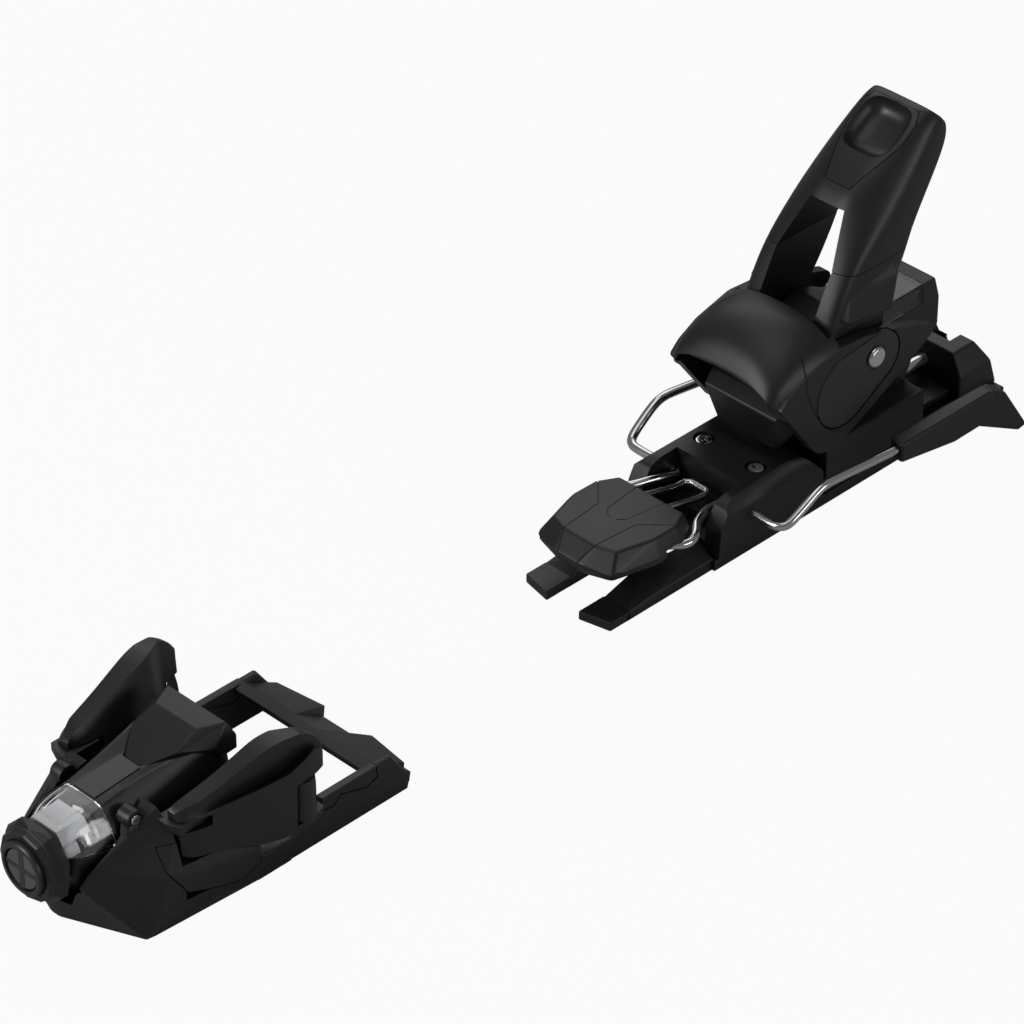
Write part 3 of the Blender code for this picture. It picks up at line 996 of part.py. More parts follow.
def lever_face_z(x):
    """Height of the lever's front face above its middle line."""
    return 0.1255 + (x - 0.3445) * (0.1485 - 0.1255) / (0.3790 - 0.3445)


def insert_room(name, gap):
    """A pocket in the lever's front face, square to that face."""
    slope = math.atan2(0.1485 - 0.1255, 0.3790 - 0.3445)
    down = Vector((math.sin(slope), 0, -math.cos(slope)))
    points = []
    for x, y in INSERT:
        along = Vector((x, 0, lever_face_z(x)))
        for side in (LEFT, RIGHT):
            for depth in (INSERT_DEPTH + gap, -0.01 if gap else 0.0002):
                spot = along + down * depth
                points.append((spot.x, side * (y + gap), spot.z))
    if gap:
        points = [(x + (gap if x > 0.365 else -gap) * 0.8, y, z) for x, y, z in points]
    return hull(name, points)


def lever_insert():
    insert = combine(insert_room("lever_insert", 0), "INTERSECT", lever_skin("skin"))
    insert.data.materials.clear()
    insert.data.materials.append(GREY_BLACK)
    cup = bmesh.new()
    bmesh.ops.create_icosphere(cup, subdivisions=2, radius=1.0,
                               matrix=Matrix.Translation((0.3655, 0, 0.1435)) @ Matrix.Rotation(-0.588, 4, "Y")
                               @ Matrix.Diagonal((0.0115, 0.0088, 0.0075, 1)))
    return cut(insert, place("finger_cup", cup, BLACK))


def lever_arm(side, word):
    """One arm from its bore on the axle up to the seam, with its flared web."""
    near, far = sorted((side * ARM_INNER_Y, side * 0.05))
    zone = box("zone", (0.30, near, 0.05), (0.42, far, LEVER_SEAM_Z))
    arm = combine(lever_skin(word + "_lever_arm"), "INTERSECT", zone)
    near, far = sorted((side * ARM_INNER_Y, side * ARM_OUTER_Y))
    foot = prism("foot", [(AXLE_X - 0.0090, AXLE_Z - 0.0060), (AXLE_X + 0.0090, AXLE_Z - 0.0060),
                          (AXLE_X + 0.0110, AXLE_Z + 0.0150), (AXLE_X - 0.0130, AXLE_Z + 0.0150)], "Y", near, far)
    web = hull("web", [(x, side * y, z) for x, y, z in (
        (0.3470, ARM_OUTER_Y - 0.001, 0.0985), (0.3520, ARM_OUTER_Y - 0.001, 0.0940), (0.3240, ARM_OUTER_Y - 0.001, 0.0860),
        (0.3240, 0.0275, 0.0845), (0.3500, 0.0285, 0.0800), (0.3530, ARM_OUTER_Y - 0.001, 0.0790), (0.3500, 0.0260, 0.0900))])
    join(arm, foot, web)
    return cut(arm, rod("axle", (AXLE_X, -0.06, AXLE_Z), (AXLE_X, 0.06, AXLE_Z), AXLE_RADIUS + RUN, sides=24))


# Rear end of the track

def rear_bracket():
    seat = PLATE_HEIGHT + GAP
    half = REAR_BRACKET_HALF
    bracket = hull("rear_bracket", both([(REAR_BRACKET_X, half, seat), (TRACK_END_X, half, seat), (REAR_BRACKET_X, half, 0.0180),
                                         (TRACK_END_X - 0.004, half, 0.0180), (REAR_BRACKET_X + 0.002, half - 0.006, REAR_BRACKET_TOP_Z),
                                         (TRACK_END_X - 0.008, half - 0.006, REAR_BRACKET_TOP_Z)]))
    notch = box("notch", (REAR_NOTCH_X, -0.0070, TRACK_SCREW_Z - 0.0060), (REAR_NOTCH_X + REAR_NOTCH_LENGTH, 0.0070, 0.05))
    bore = rod("bore", (0.39, 0, TRACK_SCREW_Z), (REAR_NOTCH_X + 0.001, 0, TRACK_SCREW_Z), TRACK_SCREW_RADIUS + RUN)
    driver = rod("driver", (REAR_NOTCH_X, 0, TRACK_SCREW_Z), (0.44, 0, TRACK_SCREW_Z), TRACK_SCREW_HEAD - 0.0010)
    return cut(bracket, notch, bore, driver)


def track_screw():
    head = REAR_NOTCH_X + GAP
    screw = rod("track_screw", (CARRIAGE_FRONT_X + 0.0060, 0, TRACK_SCREW_Z), (head + 0.001, 0, TRACK_SCREW_Z), TRACK_SCREW_RADIUS)
    join(screw, rod("head", (head, 0, TRACK_SCREW_Z), (head + 0.0045, 0, TRACK_SCREW_Z), TRACK_SCREW_HEAD))
    slot = box("slot", (head + 0.0030, -0.0036, TRACK_SCREW_Z - 0.0006), (head + 0.01, 0.0036, TRACK_SCREW_Z + 0.0006))
    return cut(screw, slot)


# Toe piece
toe_base()
toe_loop_frame()
toe_housing()
toe_lens()
toe_top_cover()
toe_end_cap()
for chosen, name in SIDES:
    side_cover(chosen, name)
    lug_screw(chosen, name)
    wing_pin(chosen, name)
    hang(name + "_wing_body", (WING_PIVOT_X, chosen * WING_PIVOT_Y, 0), wing(chosen, name), roller_pin(chosen, name))
    hang(name + "_roller_body", (ROLLER_X, chosen * ROLLER_Y, 0), wing_roller(chosen, name))
hang("toe_dial_body", (CAP_FRONT_X, 0, AXIS_Z), toe_dial(), toe_adjusting_screw())
hang("toe_nut_body", (NUT_FRONT_X, 0, AXIS_Z), toe_spring_nut())
hang("toe_tie_rod_body", (WING_PIVOT_X, 0, AXIS_Z), toe_tie_rod())
coil("toe_spring", NUT_FRONT_X + NUT_LENGTH + GAP, SPRING_SEAT_X - GAP, AXIS_Z,
     SPRING_BORE - 0.0010 - SPRING_WIRE / 2, SPRING_WIRE / 2, SPRING_TURNS)

# Heel piece
heel_track()
brake_bracket()
rear_bracket()
brake_pieces = [brake_pad(), brake_spring_wire()]
for chosen, name in SIDES:
    bracket_screw(chosen, name)
    brake_pieces += [brake_wire(chosen, name), brake_foot(chosen, name)]
hang("brake_body", (BRAKE_X, 0, BRAKE_Z), *brake_pieces)
hang("carriage_body", (AXLE_X, 0, PLATE_HEIGHT), heel_carriage(), rear_window(), axle_pin())
hang("cup_body", (AXLE_X, 0, AXLE_Z), heel_cup(), treadle(), *(oval_cover(*pair) for pair in SIDES))
hang("lever_body", (AXLE_X, 0, AXLE_Z), heel_lever(), lever_insert(), *(lever_arm(*pair) for pair in SIDES))
hang("plunger_body", (CAM_WALL_X, 0, HEEL_AXIS_Z), heel_plunger())
hang("heel_nut_body", (WINDOW_FRONT_X, 0, HEEL_AXIS_Z), heel_spring_nut())
hang("heel_screw_body", (BLOCK_END_X, 0, HEEL_AXIS_Z), heel_release_screw())
hang("track_screw_body", (REAR_NOTCH_X, 0, TRACK_SCREW_Z), track_screw())
heel_spring()
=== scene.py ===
# %% [markdown]
# # A fixed-heel ski binding, dressed for a studio picture
# The CAD gives two pieces on one line: the toe piece, whose wings hold the boot's toe, and the heel piece
# with its cup, lever and brake. This lesson gives every piece that can be seen its moulded or bent form
# and its finish. Everything is in metres in the CAD's own frame: +X runs from toe to heel, +Z is up, +Y
# is left.

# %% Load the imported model
import json
import math

import bmesh
import bpy
from mathutils import Matrix, Vector
from mathutils.bvhtree import BVHTree


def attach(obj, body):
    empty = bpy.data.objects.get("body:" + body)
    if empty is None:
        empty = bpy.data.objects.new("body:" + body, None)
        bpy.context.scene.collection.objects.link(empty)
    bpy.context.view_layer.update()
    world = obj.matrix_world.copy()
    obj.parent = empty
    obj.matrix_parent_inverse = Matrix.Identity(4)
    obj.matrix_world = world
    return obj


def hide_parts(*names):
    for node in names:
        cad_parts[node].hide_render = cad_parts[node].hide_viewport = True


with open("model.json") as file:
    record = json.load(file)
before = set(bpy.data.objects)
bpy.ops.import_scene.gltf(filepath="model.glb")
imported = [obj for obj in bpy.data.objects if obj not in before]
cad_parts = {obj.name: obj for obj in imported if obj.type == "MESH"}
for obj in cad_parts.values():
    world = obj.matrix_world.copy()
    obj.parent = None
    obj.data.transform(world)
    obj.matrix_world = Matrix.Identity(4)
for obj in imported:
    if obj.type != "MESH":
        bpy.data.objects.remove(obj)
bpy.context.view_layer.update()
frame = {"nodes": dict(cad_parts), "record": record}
LEFT, RIGHT = 1, -1
SIDES = ((LEFT, "left"), (RIGHT, "right"))

# %% [markdown]
# ## The camera and the studio
# The product picture was taken from the front right at about 35 degrees, with a long lens, so lines that
# are parallel stay nearly parallel. A camera that looks at a fixed point with a 180 mm lens gives the
# same view. The floor and the world are white to the camera and to reflections; lamps alone shape the
# facets.

# %% The camera
TARGET = Vector((0.1700, 0.0, 0.05945))
VIEWPOINT = Vector((-0.9230, -1.0930, 1.1580))
lens = bpy.data.cameras.new("product_camera")
lens.lens = 180
lens.sensor_width = 36
lens.clip_end = 20
camera = bpy.data.objects.new("product_camera", lens)
camera.location = VIEWPOINT
camera.rotation_euler = (TARGET - VIEWPOINT).to_track_quat("-Z", "Y").to_euler()
bpy.context.scene.collection.objects.link(camera)
bpy.context.scene.camera = camera
print("camera distance: %.3f m" % (TARGET - VIEWPOINT).length)

# %% The white surroundings
bpy.context.scene.view_settings.view_transform = "Standard"
world = bpy.data.worlds.new("studio_world")
world.use_nodes = True
bpy.context.scene.world = world
tree = world.node_tree
sky = tree.nodes["Background"]
sky.inputs["Color"].default_value = (0.96, 0.98, 1.0, 1)
sky.inputs["Strength"].default_value = 0.12
white = tree.nodes.new("ShaderNodeBackground")
white.inputs["Color"].default_value = (1, 1, 1, 1)


def white_share(tree, direct, mirrored_share):
    """How white a surrounding is to a ray: all for the camera and through glass, some in reflections."""
    path = tree.nodes.new("ShaderNodeLightPath")
    seen = tree.nodes.new("ShaderNodeMath")
    seen.operation = "MAXIMUM"
    tree.links.new(path.outputs["Is Camera Ray"], seen.inputs[0])
    tree.links.new(path.outputs["Is Transmission Ray"], seen.inputs[1])
    scaled = tree.nodes.new("ShaderNodeMath")
    scaled.operation = "MULTIPLY"
    scaled.inputs[1].default_value = direct
    tree.links.new(seen.outputs[0], scaled.inputs[0])
    shine = tree.nodes.new("ShaderNodeMath")
    shine.operation = "MULTIPLY_ADD"
    shine.inputs[1].default_value = mirrored_share
    tree.links.new(path.outputs["Is Glossy Ray"], shine.inputs[0])
    tree.links.new(scaled.outputs[0], shine.inputs[2])
    shine.use_clamp = True
    return shine.outputs[0]


choice = tree.nodes.new("ShaderNodeMixShader")
tree.links.new(white_share(tree, 1.0, 0.06), choice.inputs[0])
tree.links.new(sky.outputs[0], choice.inputs[1])
tree.links.new(white.outputs[0], choice.inputs[2])
tree.links.new(choice.outputs[0], tree.nodes["World Output"].inputs["Surface"])
print("sky strength:", sky.inputs["Strength"].default_value)


# %% The pale floor
def floor_finish():
    made = bpy.data.materials.new("pale_floor")
    made.use_nodes = True
    tree = made.node_tree
    paint = tree.nodes["Principled BSDF"]
    paint.inputs["Base Color"].default_value = (0.42, 0.42, 0.42, 1)
    paint.inputs["Roughness"].default_value = 0.9
    paint.inputs["Specular IOR Level"].default_value = 0.0
    glow = tree.nodes.new("ShaderNodeEmission")
    glow.inputs["Color"].default_value = (1, 1, 1, 1)
    mix = tree.nodes.new("ShaderNodeMixShader")
    tree.links.new(white_share(tree, 0.95, 0.04), mix.inputs[0])
    tree.links.new(paint.outputs[0], mix.inputs[1])
    tree.links.new(glow.outputs[0], mix.inputs[2])
    tree.links.new(mix.outputs[0], tree.nodes["Material Output"].inputs["Surface"])
    return made


ground = bmesh.new()
bmesh.ops.create_grid(ground, x_segments=1, y_segments=1, size=3.0,
                      matrix=Matrix.Translation((0.17, 0, -0.0006)))
sheet = bpy.data.meshes.new("studio_floor")
ground.to_mesh(sheet)
ground.free()
sheet.materials.append(floor_finish())
studio_floor = bpy.data.objects.new("studio_floor", sheet)
bpy.context.scene.collection.objects.link(studio_floor)


# %% The lamps
def softbox(name, spot, aim, size, power):
    lamp = bpy.data.lights.new(name, "AREA")
    lamp.shape = "RECTANGLE"
    lamp.size, lamp.size_y = size
    lamp.energy = power
    made = bpy.data.objects.new(name, lamp)
    made.location = spot
    made.rotation_euler = (Vector(aim) - Vector(spot)).to_track_quat("-Z", "Y").to_euler()
    bpy.context.scene.collection.objects.link(made)


softbox("softbox_behind", (1.35, 1.15, 1.45), (0.17, 0, 0.03), (1.8, 1.3), 9)
softbox("softbox_above", (0.10, 0.10, 1.70), (0.17, 0, 0.03), (1.2, 1.2), 4)
softbox("softbox_left", (-1.30, 0.60, 0.75), (0.17, 0, 0.04), (0.5, 0.9), 14)
softbox("softbox_right", (0.55, -1.60, 0.55), (0.17, 0, 0.03), (1.4, 0.35), 6)


# %% [markdown]
# ## Finishes
# Nearly all of it is black satin moulding with a fine spark-eroded grain, which breaks up the reflections
# a little. A picture of the grain could be laid on it, but noise in a node group needs no file and has no
# seams: one group makes the grain and a faint unevenness of polish, and each finish uses its own values.

# %% The moulded grain
def moulded_grain():
    group = bpy.data.node_groups.new("moulded_grain", "ShaderNodeTree")
    starts = {"Grain Scale": 2600.0, "Patch Scale": 60.0, "Low Polish": 0.36, "High Polish": 0.46}
    for word, start in starts.items():
        socket = group.interface.new_socket(word, in_out="INPUT", socket_type="NodeSocketFloat")
        socket.default_value = start
    for word in ("Height", "Roughness", "Patch"):
        group.interface.new_socket(word, in_out="OUTPUT", socket_type="NodeSocketFloat")
    nodes, links = group.nodes, group.links
    entry, leave = nodes.new("NodeGroupInput"), nodes.new("NodeGroupOutput")
    where = nodes.new("ShaderNodeTexCoord")
    grain = nodes.new("ShaderNodeTexNoise")
    grain.inputs["Detail"].default_value = 3.0
    patch = nodes.new("ShaderNodeTexNoise")
    patch.inputs["Detail"].default_value = 2.0
    spread = nodes.new("ShaderNodeMapRange")
    links.new(where.outputs["Object"], grain.inputs["Vector"])
    links.new(where.outputs["Object"], patch.inputs["Vector"])
    links.new(entry.outputs["Grain Scale"], grain.inputs["Scale"])
    links.new(entry.outputs["Patch Scale"], patch.inputs["Scale"])
    links.new(patch.outputs["Fac"], spread.inputs["Value"])
    links.new(entry.outputs["Low Polish"], spread.inputs["To Min"])
    links.new(entry.outputs["High Polish"], spread.inputs["To Max"])
    links.new(grain.outputs["Fac"], leave.inputs["Height"])
    links.new(spread.outputs["Result"], leave.inputs["Roughness"])
    links.new(patch.outputs["Fac"], leave.inputs["Patch"])
    return group


GRAIN = moulded_grain()


def grained(name, dark, light, polish, metallic=0.0, relief=0.10, scale=2600.0, patches=60.0):
    """A finish whose colour, polish and relief come from the grain group."""
    made = bpy.data.materials.new(name)
    made.use_nodes = True
    nodes, links = made.node_tree.nodes, made.node_tree.links
    shader = nodes["Principled BSDF"]
    shader.inputs["Metallic"].default_value = metallic
    group = nodes.new("ShaderNodeGroup")
    group.node_tree = GRAIN
    group.inputs["Grain Scale"].default_value = scale
    group.inputs["Patch Scale"].default_value = patches
    group.inputs["Low Polish"].default_value = polish[0]
    group.inputs["High Polish"].default_value = polish[1]
    blend = nodes.new("ShaderNodeMix")
    blend.data_type = "RGBA"
    blend.inputs["A"].default_value = (*dark, 1)
    blend.inputs["B"].default_value = (*light, 1)
    bump = nodes.new("ShaderNodeBump")
    bump.inputs["Strength"].default_value = relief
    bump.inputs["Distance"].default_value = 0.0002
    links.new(group.outputs["Patch"], blend.inputs["Factor"])
    links.new(blend.outputs["Result"], shader.inputs["Base Color"])
    links.new(group.outputs["Roughness"], shader.inputs["Roughness"])
    links.new(group.outputs["Height"], bump.inputs["Height"])
    links.new(bump.outputs["Normal"], shader.inputs["Normal"])
    return made


# %% The finishes of this binding
def see_through(finish):
    """Let light through a finish, as through acrylic."""
    shader = finish.node_tree.nodes["Principled BSDF"]
    shader.inputs["Transmission Weight"].default_value = 1.0
    shader.inputs["IOR"].default_value = 1.49
    return finish


MOULDED = grained("black_satin_moulding", (0.0060, 0.0060, 0.0064), (0.0085, 0.0085, 0.0090), (0.38, 0.47))
INLAY = grained("dark_grey_inlay", (0.013, 0.013, 0.014), (0.018, 0.018, 0.019), (0.32, 0.40))
BRIGHT = grained("polished_steel", (0.60, 0.60, 0.59), (0.72, 0.72, 0.71), (0.10, 0.20), 1.0, 0.03, 900.0)
ZINCED = grained("zinc_plated_steel", (0.34, 0.34, 0.335), (0.46, 0.46, 0.45), (0.26, 0.38), 1.0, 0.06,
                 1800.0)
PALE = grained("pale_indicator", (0.52, 0.52, 0.53), (0.60, 0.60, 0.61), (0.40, 0.50), 0.0, 0.05)
CLEAR = see_through(grained("clear_moulding", (0.86, 0.87, 0.88), (0.92, 0.93, 0.94), (0.03, 0.06), 0.0, 0.0,
                            400.0))
FACE = grained("light_dial_face", (0.060, 0.060, 0.062), (0.085, 0.085, 0.088), (0.34, 0.44))
SMOKED = see_through(grained("smoked_clear_moulding", (0.10, 0.10, 0.11), (0.14, 0.14, 0.15), (0.05, 0.09),
                             0.0, 0.0, 400.0))
SLOTS = {"black_plastic": MOULDED, "grey_plastic": INLAY, "polished_steel": BRIGHT, "zinc_steel": ZINCED,
         "pale_plastic": PALE, "clear_plastic": CLEAR}
print("finishes:", ", ".join(made.name for made in SLOTS.values()))

# %% Finish the nodes that stay as they are
slot_of = {piece["node"]: piece["material_slot"] for piece in frame["record"]["subparts"]}
for name, node in frame["nodes"].items():
    node.data.materials.clear()
    node.data.materials.append(SLOTS[slot_of[name]])
print("finished", len(frame["nodes"]), "nodes")

# %% [markdown]
# ## A small workshop
# The real pieces are injection mouldings, so they have flat facets with softly broken edges, and free-
# flowing skins on the wings, the cup and the lever. Facets come from a convex hull of a few corner points
# with its edges bevelled. Skins come from a grid that is laid over sections, closed into a tube and
# subdivided, with creases where the mould has an edge. Booleans then cut the rooms for the neighbours, as
# in the CAD.

# %% Stock, Booleans and baking
def stock(bm):
    """Make a loose bmesh an object, with its faces outward."""
    bmesh.ops.remove_doubles(bm, verts=bm.verts, dist=1e-6)
    bmesh.ops.recalc_face_normals(bm, faces=bm.faces)
    mesh = bpy.data.meshes.new("stock")
    bm.to_mesh(mesh)
    bm.free()
    made = bpy.data.objects.new("stock", mesh)
    bpy.context.scene.collection.objects.link(made)
    return made


def bake(made):
    """Replace a mesh by what its modifiers make of it."""
    bpy.context.view_layer.update()
    seen = made.evaluated_get(bpy.context.evaluated_depsgraph_get())
    result = bpy.data.meshes.new_from_object(seen)
    made.modifiers.clear()
    made.data = result
    return made


def combine(target, operation, others):
    for other in others:
        step = target.modifiers.new("boolean", "BOOLEAN")
        step.operation = operation
        step.object = other
        step.solver = "EXACT"
    bake(target)
    for other in others:
        bpy.data.objects.remove(other, do_unlink=True)
    return close_slivers(target)


def close_slivers(made):
    """Merge the slivers that a Boolean can leave, so that the next one meets a closed body."""
    bm = bmesh.new()
    bm.from_mesh(made.data)
    bmesh.ops.remove_doubles(bm, verts=bm.verts, dist=2e-6)
    bmesh.ops.dissolve_degenerate(bm, edges=bm.edges, dist=1e-6)
    bmesh.ops.holes_fill(bm, edges=[e for e in bm.edges if e.is_boundary])
    bm.to_mesh(made.data)
    bm.free()
    return made


def carve(target, *cutters):
    return combine(target, "DIFFERENCE", cutters)


def weld(target, *others):
    return combine(target, "UNION", others)


def keep(target, *zones):
    return combine(target, "INTERSECT", zones)


# %% Facets, plates, bars and turned shapes
def break_edges(bm, radius, segments=2, least=8.0):
    """Bevel the edges whose faces meet at more than an angle."""
    sharp = [e for e in bm.edges if len(e.link_faces) == 2 and math.degrees(e.calc_face_angle(0)) > least]
    bmesh.ops.bevel(bm, geom=sharp, offset=radius, offset_type="OFFSET", affect="EDGES", segments=segments,
                    profile=0.5, material=-1, clamp_overlap=True)


def facets(points, radius=0.0006, segments=2, flat=1.0):
    """A convex moulding through corner points, with broken edges."""
    bm = bmesh.new()
    for point in points:
        bm.verts.new(point)
    found = bmesh.ops.convex_hull(bm, input=bm.verts)
    spare = {item for key in ("geom_interior", "geom_unused") for item in found[key]}
    bmesh.ops.delete(bm, geom=[v for v in spare if isinstance(v, bmesh.types.BMVert)], context="VERTS")
    bmesh.ops.dissolve_limit(bm, angle_limit=math.radians(flat), verts=bm.verts, edges=bm.edges)
    if radius:
        break_edges(bm, radius, segments)
    return stock(bm)


def plate(outline, axis, low, high, radius=0.0, corner=0.0, segments=3):
    """An outline raised along an axis, with rounded corners and rims."""
    up = "XYZ".index(axis)
    bm = bmesh.new()
    ring = []
    for u, v in outline:
        spot = [u, v]
        spot.insert(up, low)
        ring.append(bm.verts.new(spot))
    base = bm.faces.new(ring)
    if corner:
        bmesh.ops.bevel(bm, geom=ring, offset=corner, offset_type="OFFSET", affect="VERTICES",
                        segments=segments, profile=0.5, material=-1, clamp_overlap=True)
        base = bm.faces[:][0]
    grown = bmesh.ops.extrude_face_region(bm, geom=[base])["geom"]
    step = [0, 0, 0]
    step[up] = high - low
    bmesh.ops.translate(bm, vec=step, verts=[v for v in grown if isinstance(v, bmesh.types.BMVert)])
    if radius:
        rims = [e for e in bm.edges if abs((e.verts[0].co - e.verts[1].co)[up]) < 1e-9]
        bmesh.ops.bevel(bm, geom=rims, offset=radius, offset_type="OFFSET", affect="EDGES", segments=2,
                        profile=0.5, material=-1, clamp_overlap=True)
    return stock(bm)


def block(low, high, radius=0.0):
    outline = [(low[0], low[1]), (high[0], low[1]), (high[0], high[1]), (low[0], high[1])]
    return plate(outline, "Z", low[2], high[2], radius)


def bar(start, end, radius, end_radius=None, sides=40, rim=0.0):
    """A round bar or cone between two points, with broken rims."""
    start, end = Vector(start), Vector(end)
    way = end - start
    turn = Vector((0, 0, 1)).rotation_difference(way).to_matrix().to_4x4()
    bm = bmesh.new()
    bmesh.ops.create_cone(bm, cap_ends=True, segments=sides, radius1=radius,
                          radius2=radius if end_radius is None else end_radius, depth=way.length,
                          matrix=Matrix.Translation((start + end) / 2) @ turn)
    if rim:
        break_edges(bm, rim, 2, 40)
    return stock(bm)


def level_bar(start, end, height, radius, rim=0.0):
    """A round bar along X in the middle plane."""
    return bar((start, 0, height), (end, 0, height), radius, rim=rim)


def upright(spot, low, high, radius, end_radius=None, rim=0.0):
    """A round bar or cone that stands on a spot."""
    return bar((*spot, low), (*spot, high), radius, end_radius, rim=rim)


def turned(profile, centre, steps=64):
    """A closed (x, radius) profile spun round a line along X."""
    bm = bmesh.new()
    ring = [bm.verts.new((x, centre[0], radius + centre[1])) for x, radius in profile]
    edges = [bm.edges.new(pair) for pair in zip(ring, ring[1:] + ring[:1])]
    bmesh.ops.spin(bm, geom=ring + edges, cent=(0, *centre), axis=(1, 0, 0), angle=math.tau, steps=steps,
                   use_merge=True)
    return stock(bm)


# %% Skins over sections
def skin(sections, rails=None, rings=None, levels=2, broken=0.0):
    """A grid laid over closed sections, capped and subdivided, with creased rails and rings."""
    bm = bmesh.new()
    across, along = len(sections[0]), len(sections)
    bmesh.ops.create_grid(bm, x_segments=across, y_segments=along - 1, size=1.0)
    bm.verts.ensure_lookup_table()
    crease = bm.edges.layers.float.new("crease_edge")
    home = {}
    for row, section in enumerate(sections):
        for column, point in enumerate(list(section) + list(section[:1])):
            corner = bm.verts[row * (across + 1) + column]
            corner.co = point
            home[corner] = (row, column % across)
    for edge in bm.edges:
        a, b = (home[v] for v in edge.verts)
        if a[1] == b[1]:
            edge[crease] = (rails or {}).get(a[1], 0.0)
        elif a[0] == b[0]:
            edge[crease] = (rings or {}).get(a[0], 0.0)
    bmesh.ops.remove_doubles(bm, verts=bm.verts, dist=1e-6)
    bmesh.ops.holes_fill(bm, edges=[e for e in bm.edges if e.is_boundary])
    made = stock(bm)
    step = made.modifiers.new("subdivision", "SUBSURF")
    step.levels = step.render_levels = levels
    bake(made)
    if broken:
        bm = bmesh.new()
        bm.from_mesh(made.data)
        break_edges(bm, broken, 2, 22)
        bm.to_mesh(made.data)
        bm.free()
    return made


# %% Seam lines
def seam(target, route, aim, radius=0.00032, step=0.0012):
    """A fine seam cut along a route that is dropped on the surface along a direction."""
    bm = bmesh.new()
    bm.from_mesh(target.data)
    tree = BVHTree.FromBMesh(bm)
    bm.free()
    aim = Vector(aim).normalized()
    spots = []
    for start, end in zip(route, route[1:]):
        start, end = Vector(start), Vector(end)
        count = max(1, int((end - start).length / step))
        spots += [start.lerp(end, i / count) for i in range(count)]
    spots.append(Vector(route[-1]))
    drops = [tree.ray_cast(spot - aim * 0.05, aim, 0.15)[0] for spot in spots]
    drops = [spot for spot in drops if spot]
    if len(drops) < 2:
        print("no surface under a seam of", target.name)
        return target
    return carve(target, tube(drops, radius, 1))


def tube(spots, radius, roundness=3):
    """A round closed tube along some points."""
    curve = bpy.data.curves.new("tube", "CURVE")
    curve.dimensions = "3D"
    curve.bevel_depth = radius
    curve.bevel_resolution = roundness
    curve.use_fill_caps = True
    line = curve.splines.new("POLY")
    line.points.add(len(spots) - 1)
    for point, spot in zip(line.points, spots):
        point.co = (*spot, 1.0)
    loose = bpy.data.objects.new("tube", curve)
    bpy.context.scene.collection.objects.link(loose)
    bpy.context.view_layer.update()
    bm = bmesh.new()
    bm.from_mesh(loose.evaluated_get(bpy.context.evaluated_depsgraph_get()).to_mesh())
    bpy.data.objects.remove(loose, do_unlink=True)
    return stock(bm)


def eased(route, steps=6):
    """Points on a smooth curve through a few chosen ones."""
    knots = [Vector(p) for p in route]
    knots = [2 * knots[0] - knots[1]] + knots + [2 * knots[-1] - knots[-2]]
    spots = []
    for a, b, c, d in zip(knots, knots[1:], knots[2:], knots[3:]):
        for i in range(steps):
            t = i / steps
            spots.append(0.5 * (2 * b + (c - a) * t + (2 * a - 5 * b + 4 * c - d) * t ** 2
                                + (3 * b - a - 3 * c + d) * t ** 3))
    return spots + [knots[-2]]


# %% Handing a finished piece over
pieces_made = []


def settle(made, name, body, slot, *nodes, angle=32):
    """Name a piece, give it its finish and even normals, and let it stand for its nodes."""
    made.name = made.data.name = name
    made.data.materials.clear()
    made.data.materials.append(SLOTS[slot])
    for face in made.data.polygons:
        face.material_index = 0
        face.use_smooth = True
    made.data.set_sharp_from_angle(angle=math.radians(angle))
    even = made.modifiers.new("even_normals", "WEIGHTED_NORMAL")
    even.keep_sharp = True
    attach(made, body)
    if nodes:
        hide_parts(*nodes)
    pieces_made.append(name)
    print("%s: %d faces on %s" % (name, len(made.data.polygons), body))
    return made


def mirrored(points, side):
    """Points of the left side, put on either side."""
    return [(x, side * y, z) for x, y, z in points]


def span(side, near, far):
    """Two distances from the middle plane, as the lower and upper Y of one side."""
    return sorted((side * near, side * far))


def both(points):
    """Points of the left side with their mirror images."""
    return list(points) + [(x, -y, z) for x, y, z in points]


def mm(*rows):
    """Rows of corner points, written in millimetres."""
    return [tuple(value / 1000 for value in row) for row in rows]


# %% [markdown]
# ## The wings
# Each wing is a jaw that turns on a pin beside the housing. A flat bevel runs along its ridge and sweeps
# up to the rear, the outer side is hollowed below that ridge, and a roller sits in a pocket at the rear
# end. Sculpting would give that too, but eleven sections of eight points can be read and changed one by
# one, and creases keep the bevel's two edges crisp. Each row gives x and then the points (y, z), in
# millimetres.

